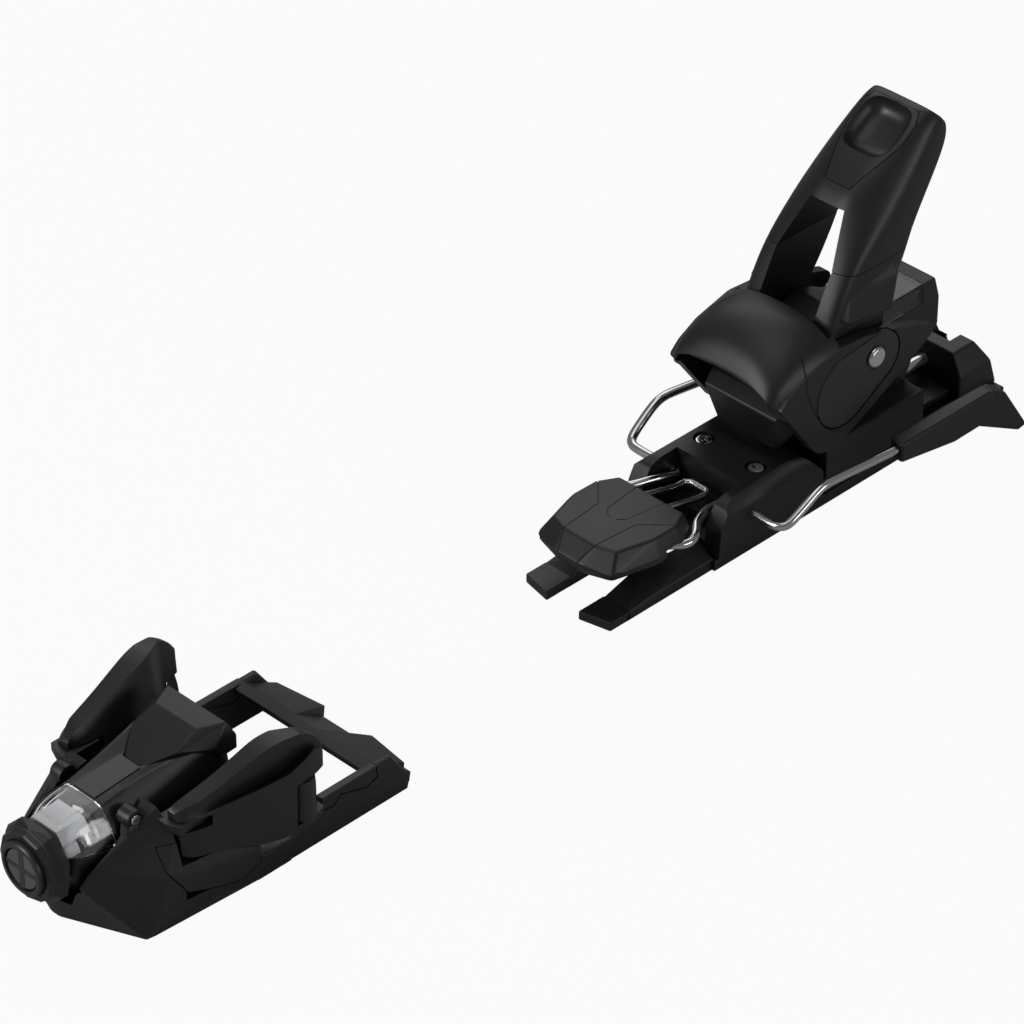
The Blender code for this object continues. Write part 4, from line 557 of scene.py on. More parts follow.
# %% Wing sections
WING = (
    (-25.6, (26.2, 27.0), (25.6, 36.0), (26.4, 44.2), (29.5, 43.9), (32.2, 41.5), (32.8, 38.0), (33.0, 32.0),
     (32.6, 27.0)),
    (-23.0, (24.4, 25.8), (23.4, 37.0), (27.2, 46.2), (31.5, 45.6), (33.8, 42.4), (34.8, 41.0), (34.9, 31.0),
     (34.9, 25.8)),
    (-18.0, (23.0, 25.4), (22.0, 38.0), (27.8, 47.6), (34.0, 47.3), (35.0, 42.8), (36.2, 42.8), (36.2, 31.0),
     (36.0, 25.0)),
    (-11.0, (22.4, 24.3), (21.9, 38.0), (28.6, 49.4), (35.0, 49.3), (35.2, 42.0), (37.6, 43.4), (37.6, 31.0),
     (37.2, 23.6)),
    (-3.0, (22.2, 21.6), (22.2, 37.0), (29.2, 51.9), (36.0, 52.1), (35.8, 41.6), (39.2, 43.8), (39.2, 31.0),
     (38.5, 21.3)),
    (5.0, (23.3, 19.0), (23.4, 37.0), (29.6, 54.6), (37.2, 55.1), (36.6, 41.4), (40.7, 44.2), (40.7, 31.0),
     (40.0, 18.4)),
    (12.0, (25.2, 17.8), (25.2, 39.0), (29.8, 56.9), (38.4, 57.4), (37.4, 41.4), (41.9, 44.6), (41.9, 31.0),
     (41.2, 17.2)),
    (18.0, (28.2, 17.0), (28.2, 40.0), (31.4, 57.9), (39.5, 57.9), (38.0, 42.0), (42.6, 45.2), (42.6, 31.0),
     (41.8, 16.6)),
    (25.5, (33.2, 16.4), (33.8, 38.0), (35.4, 57.6), (40.1, 57.0), (38.5, 44.4), (42.5, 47.6), (42.6, 31.0),
     (42.0, 16.3)),
    (31.5, (34.7, 16.0), (35.4, 36.0), (36.8, 54.0), (39.9, 53.4), (39.2, 48.6), (41.6, 49.4), (41.8, 31.0),
     (41.3, 16.1)),
    (35.6, (35.6, 16.2), (36.4, 33.0), (37.6, 47.6), (39.2, 47.8), (39.8, 46.0), (40.2, 44.0), (40.2, 30.0),
     (39.9, 16.3)),
)
PIVOT = (-0.0190, 0.0290)
ROLLER = (0.0262, 0.0393)
POCKET_LOW, POCKET_HIGH = 0.0192, 0.0376
OUTSIDE = 0.06


# %% The wings and their rollers
def wing_skin(side):
    sections = []
    for x, *ring in WING:
        sections.append(mirrored(mm(*((x, y, z) for y, z in ring)), side))
    return skin(sections, rails={0: 1, 1: 0.8, 2: 1, 3: 1, 4: 0.85, 5: 0.7, 7: 1},
                rings={0: 0.6, 2: 0.5, 7: 0.75, 8: 0.7, 10: 0.7}, levels=2, broken=0.0005)


for side, word in SIDES:
    turn_at = (PIVOT[0], side * PIVOT[1])
    roll_at = (ROLLER[0], side * ROLLER[1])
    wing = wing_skin(side)
    slot_room = upright(turn_at, 0.0371, 0.0415, 0.0094)
    corners = ((0.0209, 0.0362), (0.0209, OUTSIDE), (0.060, OUTSIDE), (0.060, 0.0362))
    pocket = plate([(x, side * y) for x, y in corners], "Z", POCKET_LOW, POCKET_HIGH)
    carve(wing, slot_room, pocket, upright(roll_at, POCKET_LOW, POCKET_HIGH, 0.0052))
    settle(wing, word + "_wing_moulding", word + "_wing_body", "black_plastic", word + "_wing")
    roller = upright(roll_at, POCKET_LOW + 0.0003, POCKET_HIGH - 0.0003, 0.0046, rim=0.0012)
    settle(roller, word + "_barrel_roller", word + "_roller_body", "grey_plastic", word + "_wing_roller")

# %% [markdown]
# ## The toe base
# The base is one moulding on the ski: a prow of flat facets, two low rails, and a crossbar with two ramps
# that the boot's sole slides on. The facets could be drawn face by face, but a hull over their corners
# finds the faces itself. The side covers continue the prow's facets, so both are cut from the same hull.

# %% The prow's facets
PROW = mm((-61.0, 17.5, 25.0), (-24.5, 22.5, 45.5), (-24.0, 30.0, 40.0), (-31.0, 29.4, 34.5),
          (-47.2, 24.9, 26.3), (-33.0, 34.2, 22.4), (-4.0, 37.4, 9.4), (-20.0, 37.0, 19.6), (9.0, 37.9, 15.0),
          (-53.5, 23.0, 20.4), (-37.0, 35.0, 13.4), (-15.0, 37.6, 5.6), (9.0, 37.0, 0.0), (-59.4, 2.0, 8.4),
          (-57.0, 2.0, 0.0), (-45.7, 22.5, 0.0), (-43.6, 33.8, 0.0))


def prow():
    return facets(both(PROW), 0.0007, 2, 3.0)


print("prow corners:", len(both(PROW)))

# %% The housing's sections
AXIS = (0.0, 0.0283)
AHEAD = -81.7
NOSE = (
    (-61.7, (8.2, 44.0), (12.6, 40.4), (15.8, 31.0), (15.4, 22.0), (9.0, 13.2)),
    (-41.4, (5.8, 46.1), (8.4, 45.6), (17.6, 34.5), (18.0, 21.5), (12.0, 10.3)),
    (-8.0, (5.8, 48.0), (11.9, 51.2), (19.4, 40.0), (19.2, 19.0), (14.0, 10.3)),
    (5.5, (5.8, 48.0), (18.4, 49.0), (20.0, 40.5), (19.6, 19.0), (14.0, 10.3)),
    (14.5, (5.8, 47.0), (18.0, 48.2), (19.5, 39.5), (19.2, 19.0), (14.0, 10.3)),
)


def nose(offset=0.0, front=None, rails=None, levels=0, lowest=0.0):
    """The housing's skin, moved outward for a neighbour's room."""
    sections = []
    for x, *half in NOSE:
        x = front if front is not None and x == NOSE[0][0] else x
        ring = []
        for y, z in half:
            if z < lowest:
                continue
            out = Vector((y, z - 1000 * AXIS[1])).normalized() * offset
            ring.append((x, y + out.x, z + out.y))
        sections.append(mm(*ring) + mm(*((a, -b, c) for a, b, c in reversed(ring))))
    return skin(sections, rails, levels=levels)


print("housing sections:", len(NOSE))

# %% Side covers
COVER_EDGE = [(-0.0335, 0.0330), (-0.0330, 0.0243), (-0.0260, 0.0132), (-0.0030, 0.0058), (0.0070, 0.0078),
              (0.0070, 0.0158), (-0.0030, 0.0198), (-0.0100, 0.0226), (-0.0190, 0.0240), (-0.0268, 0.0242),
              (-0.0268, 0.0330)]
SEAT_GAP = 0.0003


def cover_zone(side, gap):
    """The room of a side cover, or the cover itself where the gap is nought."""
    outline = COVER_EDGE
    if gap:
        outline = [(-0.0335 - gap, 0.0330 + gap)] + [(x - gap, z - gap) for x, z in COVER_EDGE[1:4]]
        outline += [(0.0070 + gap, 0.0078 - gap), (0.0070 + gap, 0.0300), (-0.0260, 0.0300),
                    (-0.0260, 0.0330 + gap)]
    return plate(outline, "Y", *span(side, 0.0280 - gap, 0.05))


for side, word in SIDES:
    cover = keep(prow(), cover_zone(side, 0))
    settle(cover, word + "_flank_cover", "binding_base", "black_plastic", word + "_side_cover")


# %% Lugs with their small screws
LUG = Vector((-0.0355, 0.0206, 0.0420))


def lug_finger(side):
    """A rounded finger that leans out of the prow."""
    rings = []
    for y, r in ((0.0150, 0.0040), (0.0190, 0.0040), (LUG.y, 0.0037)):
        rings.append([(LUG.x + r * math.cos(a), side * y, LUG.z + r * math.sin(a))
                      for a in (math.tau * i / 12 for i in range(12))])
    finger = skin(rings, rings={0: 1, 2: 0.85}, levels=2)
    root = mm((-43, 19, 29), (-42, 24, 28.5), (-30.5, 25, 34.5), (-30, 20, 37), (-38, 15.5, 44),
              (-33, 15.5, 44), (-38.6, 20, 41), (-32.4, 20, 41), (-35.5, 20, 38.2))
    return weld(finger, facets(mirrored(root, side), 0.0008, 3))


def across_lug(side, near, far, radius, **more):
    """A round bar along Y on the lug's middle."""
    return bar((LUG.x, side * near, LUG.z), (LUG.x, side * far, LUG.z), radius, **more)


for side, word in SIDES:
    shank = across_lug(side, LUG.y - 0.0040, LUG.y + 0.0006, 0.0021, rim=0.0003)
    socket = across_lug(side, LUG.y - 0.0012, 0.04, 0.0012, sides=6)
    carve(shank, socket)
    settle(shank, word + "_socket_screw", "binding_base", "polished_steel", word + "_lug_screw")

# %% Base with rails, crossbar and ramps
LOOP_TOP = 0.0194
RAIL_WALL = (0.0336, 0.0370)
ARM = [(0.0375, LOOP_TOP), (0.0375, 0.0138), (0.0430, 0.0132), (0.0466, 0.0164), (0.0593, 0.0124),
       (0.0650, 0.0144), (0.0642, 0.0164), (0.0642, LOOP_TOP)]
RAMP = mm((64.5, 6.2, 19.2), (64.5, 34.0, 19.2), (85.2, 12.5, 8.4), (81.0, 34.0, 10.0), (84.6, 12.5, 3.0),
          (80.5, 34.0, 3.0), (66.0, 6.2, 13.0), (66.0, 34.0, 13.0))
TAB = ((-0.0290, 0.0230), (-0.0135, 0.0230), (-0.0135, 0.0342), (-0.0268, 0.0342), (-0.0290, 0.0290))


def added_to_base():
    """What is moulded on the prow: slab, crossbar, rails, ramps, lugs and pivot tabs."""
    rail = [(0.0210, 0), (0.0800, 0), (0.0815, 0.0050), (0.0790, 0.0092), (0.0718, LOOP_TOP),
            (0.0375, LOOP_TOP), (0.0375, 0.0140), (0.0300, 0.0125), (0.0210, 0.0100)]
    rise = LOOP_TOP - 0.0004
    front = 0.0645
    valley = [(front, rise - 0.0034), (front, rise), (0.0822, 0.0062), (0.0815, 0.0020),
              (0.0700, rise - 0.0070)]
    added = [block((0.0060, -0.0370, 0), (0.0220, 0.0370, 0.0100), 0.0005)]
    added.append(plate(valley, "Y", -0.0360, 0.0360, 0.0003))
    for side, _ in SIDES:
        added.append(plate(rail, "Y", *span(side, *RAIL_WALL), 0.0013))
        added.append(facets(mirrored(RAMP, side), 0.0003))
        added.append(lug_finger(side))
        added.append(plate([(x, side * y) for x, y in TAB], "Z", 0.0374, 0.0412, 0.0003))
    return added


def rooms_in_base():
    """Room for the housing, the cap, the covers, the loop's arms and the screws."""
    rooms = [nose(1.6, front=AHEAD, lowest=17.0), nose(0.3, front=AHEAD)]
    rooms.append(level_bar(-0.0817, -0.0617, AXIS[1], 0.0163))
    for side, _ in SIDES:
        rooms.append(cover_zone(side, SEAT_GAP))
        low = [(x, z - SEAT_GAP) for x, z in ARM[2:-1]]
        low[-2] = (low[-2][0] + SEAT_GAP, low[-2][1])
        low[-1] = (low[-1][0] + SEAT_GAP, low[-1][1])
        room = [(0.0372, 0.03), (0.0372, 0.0135)] + low + [(low[-1][0], 0.03)]
        rooms.append(plate(room, "Y", *span(side, 0.0236, 0.0470)))
        rooms.append(across_lug(side, LUG.y - 0.0043, 0.04, 0.0024))
        rooms.append(upright((0.0160, side * 0.0210), -0.01, 0.02, 0.0024))
    return rooms


def toe_base():
    base = carve(prow(), block((-0.0270, -OUTSIDE, 0.0100), (0.06, OUTSIDE, 0.08)))
    weld(base, *added_to_base())
    return carve(base, *rooms_in_base())


settle(toe_base(), "toe_base_moulding", "binding_base", "black_plastic", "toe_base")

# %% The loop frame
strip = plate([(0.0600, LOOP_TOP - 0.0032), (0.0600, LOOP_TOP - 0.0010), (0.0642, LOOP_TOP),
               (0.0642, LOOP_TOP - 0.0032)], "Y", -0.0370, 0.0370, 0.0003)
arms = [plate(ARM, "Y", *span(side, *RAIL_WALL), 0.0004) for side, _ in SIDES]
settle(weld(strip, *arms), "sole_loop", "binding_base", "black_plastic", "toe_loop_frame")

# %% [markdown]
# ## The spring housing
# The housing is a long nose. The flat strip on top is a lighter grey piece that paints the highlight of the
# light falling on the top. Its front end is a clear window over the pale indicator that shows the release
# setting, closed by a cap with the adjusting dial. Housing and window are cut from one skin, so that they
# meet without a step; the cap is spun in few steps, which leaves its facets.

# %% Housing and window
NOSE_RAILS = {0: 0.95, 9: 0.95, 1: 0.8, 8: 0.8, 2: 0.25, 7: 0.25, 3: 0.4, 6: 0.4, 4: 0.6, 5: 0.6}


def nose_form(offset=0.0):
    return nose(offset, rails=NOSE_RAILS, levels=3)


HEX = [(-0.0187, 0.0041), (-0.0081, 0.0117), (0.0050, 0.0181), (0.0155, 0.0175)]
HEX += [(x, -y) for x, y in reversed(HEX)]
housing = nose_form()
window_zone = block((-0.0717, -0.04, 0.0317), (-0.0411, 0.04, 0.08))
hex_room = plate([(x + math.copysign(SEAT_GAP, x), y * 1.02) for x, y in HEX], "Z", 0.0437, 0.08)
bore = level_bar(-0.0717, -0.0300, AXIS[1], 0.0112)
chamber = block((-0.0260, -0.04, 0.0224), (0.0030, 0.04, 0.0348))
notch = block((0.0125, -0.006, 0.0437), (0.03, 0.006, 0.08))
carve(housing, window_zone, bore, chamber, hex_room, notch)
settle(housing, "spring_housing", "binding_base", "black_plastic", "toe_housing")
# The strip on the housing's top is a painted highlight: lighter grey plastic laid where the light falls.
HIGHLIGHT_STRIP = mm((-41.0, 5.7, 46.5), (-19.2, 5.4, 47.8), (-41.0, 5.7, 45.2), (-19.2, 5.4, 46.4))
settle(facets(both(HIGHLIGHT_STRIP), 0.0002), "painted_highlight_strip", "binding_base", "grey_plastic")
clear = nose_form()
hollow = nose_form(-1.6)
behind = block((-0.0414, -0.05, 0), (0.05, 0.05, 0.09))
below = block((-0.08, -0.05, 0), (0.05, 0.05, 0.0320))
carve(clear, behind, below, hollow)
settle(clear, "indicator_window", "binding_base", "clear_plastic", "toe_lens")

# %% Peaked top cover
PEAK = mm((-18.7, 4.1, 46.6), (-8.1, 11.7, 51.4), (2.7, 10.7, 55.7), (12.6, 15.3, 55.8), (5.0, 18.1, 49.2),
          (15.5, 17.5, 50.0))
cover = facets(both(PEAK) + [(x, y, 0.0440) for x, y in HEX], 0.0005, 2)
settle(cover, "peaked_cover", "binding_base", "black_plastic", "toe_top_cover")

# %% End cap
cap = turned([(-0.0620, 0.0), (-0.0690, 0.0), (-0.0690, 0.0133), (-0.0684, 0.0139), (-0.0666, 0.0142),
              (-0.0662, 0.0150), (-0.0640, 0.0164), (-0.0622, 0.0164), (-0.0620, 0.0162)], AXIS, 12)
carve(cap, level_bar(-0.08, -0.0639, AXIS[1], 0.0111), level_bar(-0.08, -0.06, AXIS[1], 0.0037))
carve(cap, block((-0.08, -0.03, 0.0434), (-0.05, 0.03, 0.07)))
settle(cap, "end_cap", "binding_base", "black_plastic", "toe_end_cap", angle=20)


# %% Setting dial
def cross(start, end, reach, half, radius=0.0):
    """Two crossed bars over the dial's face."""
    arms = []
    for wide, tall in ((half, reach), (reach, half)):
        arms.append(block((start, -wide, AXIS[1] - tall), (end, wide, AXIS[1] + tall), radius))
    return arms


dial = turned([(-0.0712, 0.0086), (-0.0712, 0.0100), (-0.0708, 0.0106), (-0.0702, 0.0108), (-0.0642, 0.0108),
               (-0.0642, 0.0036), (-0.0682, 0.0036), (-0.0682, 0.0000), (-0.0695, 0.0000),
               (-0.0695, 0.0082)], AXIS)
weld(dial, *cross(-0.0707, -0.0685, 0.0090, 0.0013, 0.0004))
settle(dial, "setting_dial", "toe_dial_body", "grey_plastic", "toe_dial")
face = level_bar(-0.0706, -0.0690, AXIS[1], 0.0079, rim=0.0003)
carve(face, *cross(-0.08, -0.06, 0.02, 0.0011))
settle(face, "dial_quadrants", "toe_dial_body", "grey_plastic")
face.data.materials[0] = FACE
print("toe piece:", len(pieces_made), "pieces so far")


# %% [markdown]
# ## The heel cup
# A smooth hood arches over the boot's heel ledge, and two cheeks reach down and back from it. An oval
# cover lies in each cheek, round the domed head of the axle that the cup and the lever turn on. The
# saddle of the hood is a skin over profiles, as the wings are, and each cutter has a Boolean of its own,
# which keeps it closed.

# %% Profiles of the hood and cheeks
AXLE = (0.3390, 0.0628)
INNER, SEAT, PROUD = 0.0243, 0.0270, 0.0294
HOOD = (
    (5.0, (284.2, 66.0), (283.7, 70.0), (288.8, 79.2), (302.0, 85.7), (311.0, 85.8), (319.0, 84.8)),
    (14.0, (284.0, 65.0), (283.4, 69.2), (288.0, 77.4), (300.8, 83.9), (311.0, 84.7), (319.0, 83.8)),
    (21.5, (283.4, 63.4), (283.0, 67.0), (287.0, 73.4), (298.6, 79.8), (310.5, 81.9), (319.0, 81.4)),
    (26.3, (283.0, 61.0), (282.7, 63.9), (286.0, 69.0), (296.5, 75.2), (309.5, 78.2), (319.0, 78.2)),
    (28.7, (291.0, 54.0), (288.0, 60.0), (290.2, 65.2), (299.0, 71.2), (310.0, 74.6), (319.0, 75.2)),
)
CHEEK = [(0.2850, 0.0620), (0.3064, 0.0334), (0.3100, 0.0312), (0.3190, 0.0308), (0.3370, 0.0388),
         (0.3600, 0.0508), (0.3726, 0.0580), (0.3730, 0.0606), (0.3716, 0.0632), (0.3500, 0.0706),
         (0.3330, 0.0752), (0.3180, 0.0764), (0.3000, 0.0720), (0.2900, 0.0668)]


def hood_form():
    """The saddle of the hood, laid over profiles from cheek to cheek."""
    sections = []
    for y, *profile in (*reversed(HOOD), *((-row[0], *row[1:]) for row in HOOD)):
        ring = [(x, y, z) for x, z in profile] + [(319.0, y, 55.0), (302.0, y, 52.0)]
        sections.append(mm(*ring))
    return skin(sections, rails={0: 0.7, 1: 0.55, 5: 1, 6: 1}, rings={0: 0.6, 9: 0.6}, levels=3)


print("hood profiles:", 2 * len(HOOD))


# %% The oval outline and the axle's line
OVAL_STEPS = 18
AXLE_BORE = 0.0037


def oval(gap=0.0):
    """A leaf shape from two round ends of different size."""
    big, small = (0.3222, 0.0550, 0.0160 + gap), (0.3415, 0.0612, 0.0115 + gap)
    lean = math.atan2(small[1] - big[1], small[0] - big[0])
    reach = math.hypot(small[0] - big[0], small[1] - big[1])
    part = math.acos((big[2] - small[2]) / reach)
    points = []
    for (x, z, r), start, end in ((small, -part, part), (big, part, math.tau - part)):
        for i in range(OVAL_STEPS + 1):
            a = lean + start + (end - start) * i / OVAL_STEPS
            points.append((x + r * math.cos(a), z + r * math.sin(a)))
    return points


def axle_bar(radius, reach=OUTSIDE):
    """A round bar along the axle, as far to the left as to the right."""
    return bar((AXLE[0], -reach, AXLE[1]), (AXLE[0], reach, AXLE[1]), radius)


print("oval points:", len(oval()))


# %% The cup
def heel_cup():
    cup = hood_form()
    for side, _ in SIDES:
        weld(cup, plate(CHEEK, "Y", *span(side, 0.0240, 0.0293), 0.0014, 0.0020))
    inside = facets(both([(0.2700, INNER, 0.0200), (0.2700, INNER, 0.0600), (0.2855, INNER, 0.0622),
                          (0.2890, 0.0215, 0.0690), (0.3000, 0.0200, 0.0715), (0.3040, 0.0060, 0.0812),
                          (0.3300, 0.0080, 0.0812), (0.3300, 0.0215, 0.0775), (0.3300, INNER, 0.0700),
                          (0.3300, INNER, 0.0200)]), 0.0)
    behind = block((0.3160, -INNER - 0.0002, 0.02), (0.40, INNER + 0.0002, 0.10))
    below = plate([(0.2700, 0.0250), (0.2700, 0.0600), (0.2826, 0.0630), (0.3062, 0.0330), (0.3062, 0.0250)],
                  "Y", -0.06, 0.06)
    arch = plate([(-0.0200, 0.0500), (-0.0150, 0.0655), (-0.0085, 0.0690), (0.0085, 0.0690), (0.0150, 0.0655),
                  (0.0200, 0.0500)], "X", 0.27, 0.2890, corner=0.0040)
    for room in (inside, behind, below, arch):
        carve(cup, room)
    weld(cup, block((0.3180, -INNER - 0.001, 0.0440), (0.3212, INNER + 0.001, 0.0590), 0.0004))
    rooms = [axle_bar(AXLE_BORE)]
    for side, _ in SIDES:
        rooms.append(plate(oval(0.0004), "Y", *span(side, SEAT - SEAT_GAP, OUTSIDE)))
    return carve(cup, *rooms)


cup = heel_cup()
VIEW = Vector((0.5764, 0.5764, -0.5793))
BAND = mm((310.4, -18.2, 82.8), (303.0, -22.5, 79.1), (298.4, -29.6, 72.7), (297.5, -32.9, 64.2),
          (301.7, -35.2, 54.0), (309.0, -36.7, 46.1), (318.0, -36.0, 42.6))
for side, _ in SIDES:
    turned_view = (VIEW.x, -side * VIEW.y, VIEW.z)
    seam(cup, eased([(x, -side * y, z) for x, y, z in BAND]), turned_view, 0.00035)
settle(cup, "heel_hood", "cup_body", "black_plastic", "heel_cup")

# %% Oval covers, axle and treadle
for side, word in SIDES:
    cover = plate(oval(), "Y", *span(side, SEAT, PROUD), 0.0009)
    well = bar((AXLE[0], side * (PROUD - 0.0003), AXLE[1]), (AXLE[0], side * 0.06, AXLE[1]), 0.0056)
    carve(cover, well, axle_bar(AXLE_BORE))
    settle(cover, word + "_cheek_cover", "cup_body", "grey_plastic", word + "_oval_cover")
pin = axle_bar(0.0035, PROUD + 0.0002)
for side, _ in SIDES:
    weld(pin, bar((AXLE[0], side * (PROUD - 0.0002), AXLE[1]), (AXLE[0], side * (PROUD + 0.0017), AXLE[1]),
                  0.0048, 0.0040, rim=0.0007))
settle(pin, "domed_axle", "carriage_body", "polished_steel", "axle_pin")
TREADLE = mm((294.0, 19.0, 49.0), (298.5, 15.0, 31.5), (306.0, 14.0, 31.0), (317.7, 21.5, 56.0),
             (317.7, 21.5, 45.0), (300.0, 20.5, 54.0))
settle(facets(both(TREADLE), 0.0010, 3), "step_treadle", "cup_body", "black_plastic", "treadle")

# %% [markdown]
# ## The heel lever
# The lever leans back over the block. Its two arms ride on the axle, a gap lies between them, and an
# inlaid pad with a finger dish covers its front face. One skin over sections gives the whole form; lever,
# arms and pad are then cut out of copies of it, so their outsides run on into each other.

# %% The lever's form
ARM_NEAR, ARM_FAR, SPLIT = 0.0142, 0.0236, 0.0990
LEVER = (
    (-10.0, (-4.0, 0.0), (-4.0, 8.0), (-4.4, 15.0), (-6.0, 23.0), (-12.0, 23.6), (-24.0, 23.4), (-24.0, 0.0)),
    (2.0, (0.6, 0.0), (0.6, 8.0), (0.5, 15.0), (-0.8, 23.0), (-8.0, 23.6), (-26.0, 23.4), (-26.0, 0.0)),
    (20.4, (6.8, 0.0), (6.8, 8.0), (6.6, 15.5), (5.0, 23.0), (-6.0, 23.6), (-25.6, 23.2), (-25.6, 0.0)),
    (43.0, (10.8, 0.0), (10.8, 7.5), (8.6, 14.8), (3.2, 22.6), (-6.0, 23.4), (-20.5, 22.4), (-20.5, 0.0)),
    (51.0, (12.0, 0.0), (12.0, 7.5), (9.0, 14.4), (2.4, 22.2), (-6.0, 23.0), (-17.2, 21.8), (-17.2, 0.0)),
    (67.0, (8.8, 0.0), (8.8, 9.5), (6.8, 15.0), (0.8, 20.9), (-6.0, 21.6), (-15.6, 20.4), (-15.6, 0.0)),
    (80.0, (6.1, 0.0), (6.1, 10.0), (4.6, 15.0), (-0.4, 19.2), (-6.0, 19.8), (-15.0, 18.8), (-15.0, 0.0)),
    (90.0, (3.8, 0.0), (3.8, 10.0), (2.6, 14.4), (-1.2, 17.4), (-6.0, 18.2), (-13.4, 17.4), (-13.4, 0.0)),
    (94.0, (0.2, 0.0), (0.2, 9.6), (-0.4, 13.4), (-2.4, 15.8), (-6.0, 16.6), (-9.0, 15.8), (-9.0, 0.0)),
)
LEAN = math.atan2(0.728, 0.685)
SLOPE = math.atan2(148.5 - 125.5, 379.0 - 344.5)
FACE_START = (0.3445, 0.1255)
PAD_DEPTH = 0.0100
PAD = mm((345.5, 6.2), (352.0, 7.8), (359.0, 11.4), (366.0, 13.6), (374.0, 13.6), (378.8, 11.0))


def lever_form():
    """The lever's rounded form, laid over sections square to its length."""
    along = Vector((math.cos(LEAN), 0, math.sin(LEAN)))
    out = Vector((-math.sin(LEAN), 0, math.cos(LEAN)))
    sections = []
    for reach, *half in LEVER:
        spots = [(t, y) for t, y in half] + [(t, -y) for t, y in reversed(half[1:-1])]
        centre = Vector((318.5, 0, 80.0)) + along * reach
        sections.append(mm(*(tuple(centre + out * t + Vector((0, y, 0))) for t, y in spots)))
    creases = {1: 0.25, 11: 0.25, 3: 0.2, 9: 0.2, 5: 0.7, 7: 0.7}
    return skin(sections, rails=creases, rings={0: 1, 8: 0.35}, levels=3)


def arm_gap():
    """The opening between the arms, narrower at its top."""
    wide, narrow, tall = ARM_NEAR, 0.0085, 0.1190
    return plate([(-wide, 0.05), (wide, 0.05), (wide, SPLIT), (narrow, tall), (-narrow, tall),
                  (-wide, SPLIT)], "X", 0.30, 0.42)


print("lever sections:", len(LEVER))


# %% The inlaid pad and its dish
def on_face(x):
    """A point of the lever's sloping front face."""
    return Vector((x, 0, FACE_START[1] + (x - FACE_START[0]) * math.tan(SLOPE)))


def pad_zone(gap):
    """The pocket of the inlaid pad, square to the lever's face."""
    down = Vector((math.sin(SLOPE), 0, -math.cos(SLOPE)))
    points = []
    for x, y in PAD:
        for depth in (PAD_DEPTH + gap, -PAD_DEPTH):
            spot = on_face(x) + down * depth
            points.append((spot.x + (gap if x > 0.365 else -gap), y + gap, spot.z))
    return facets(both(points), 0.0)


DISH_X, DISH_HALF, DISH_POINTS, SQUARENESS = 0.3682, (0.0126, 0.0120), 24, 0.6
DISH = ((0.0040, 1.10), (0.0006, 1.02), (-0.0012, 0.97), (-0.0038, 0.86), (-0.0058, 0.66), (-0.0064, 0.30))


def dish():
    """A bowl for the finger, a rounded square that narrows with its depth."""
    along = Vector((math.cos(SLOPE), 0, math.sin(SLOPE)))
    out = Vector((-math.sin(SLOPE), 0, math.cos(SLOPE)))
    centre = on_face(DISH_X)
    rings = []
    for height, share in DISH:
        ring = []
        for i in range(DISH_POINTS):
            a = math.tau * i / DISH_POINTS
            u = math.copysign(abs(math.cos(a)) ** SQUARENESS, math.cos(a)) * DISH_HALF[0] * share
            v = math.copysign(abs(math.sin(a)) ** SQUARENESS, math.sin(a)) * DISH_HALF[1] * share
            ring.append(tuple(centre + along * u + out * height + Vector((0, v, 0))))
        rings.append(ring)
    return skin(rings, rings={0: 1}, levels=2)


lever = carve(lever_form(), arm_gap())
carve(lever, block((0.28, -OUTSIDE, 0.02), (0.44, OUTSIDE, SPLIT + SEAT_GAP)))
carve(lever, pad_zone(SEAT_GAP))
settle(lever, "release_lever", "lever_body", "black_plastic", "heel_lever")
pad = carve(keep(pad_zone(0.0), lever_form()), dish())
settle(pad, "inlaid_lever_pad", "lever_body", "grey_plastic", "lever_insert")

# %% The lever's arms
WEB = mm((356.0, 22.0, 98.4), (358.0, 22.0, 91.0), (330.0, 22.6, 92.0), (324.0, 22.6, 84.0),
         (326.0, 25.4, 81.0), (350.0, 27.2, 78.5), (354.0, 22.0, 78.0), (355.0, 25.2, 92.0))
FOOT = ((-0.0090, -0.0060), (0.0090, -0.0060), (0.0110, 0.0150), (-0.0130, 0.0150))
for side, word in SIDES:
    near, far = span(side, -0.05, ARM_NEAR)
    arm = carve(lever_form(), block((0.30, -0.05, SPLIT), (0.42, 0.05, 0.16)))
    carve(arm, block((0.30, near, 0.05), (0.42, far, 0.12)))
    carve(arm, block((0.28, -0.05, 0.02), (0.42, 0.05, 0.0730)))
    outline = [(AXLE[0] + x, AXLE[1] + z) for x, z in FOOT]
    foot = plate(outline, "Y", *span(side, ARM_NEAR, ARM_FAR), 0.0006, 0.0030)
    weld(arm, foot, facets(mirrored(WEB, side), 0.0009, 3))
    carve(arm, axle_bar(AXLE_BORE))
    settle(arm, word + "_arm_moulding", "lever_body", "black_plastic", word + "_lever_arm")

# %% [markdown]
# ## The heel carriage
# The carriage slides on the track's rail and carries a tower with the spring's bore, a smoked window over
# the indicator, and the head of the release screw at the back. The tower's side view is raised into a
# plate, and the window is cut out of a second plate of the same outline.

# %% Carriage and rear window
SPRING_Z, TOWER, BLOCK_TOP, BLOCK_END = 0.0515, 0.0136, 0.0680, 0.3950
WINDOW_FRONT, WINDOW_REAR, WINDOW_LOW, WINDOW_WALL = 0.3600, 0.3845, 0.0590, 0.0018
RAIL_NECK, RAIL_HEAD, RAIL_TOP, PLATE_TOP = 0.0120, 0.0150, 0.0105, 0.0050
WORM_Z, WORM_ROOM = 0.0175, 0.0034
SIDE_VIEW = [(0.3225, 0.0250), (0.3225, 0.0600), (AXLE[0] - 0.0080, AXLE[1] + 0.0085),
             (AXLE[0], AXLE[1] + 0.0120), (AXLE[0] + 0.0090, AXLE[1] + 0.0090), (AXLE[0] + 0.0160, BLOCK_TOP),
             (BLOCK_END - 0.0030, BLOCK_TOP), (BLOCK_END, BLOCK_TOP - 0.0100), (BLOCK_END, 0.0445),
             (0.3820, 0.0390), (0.3760, 0.0250)]


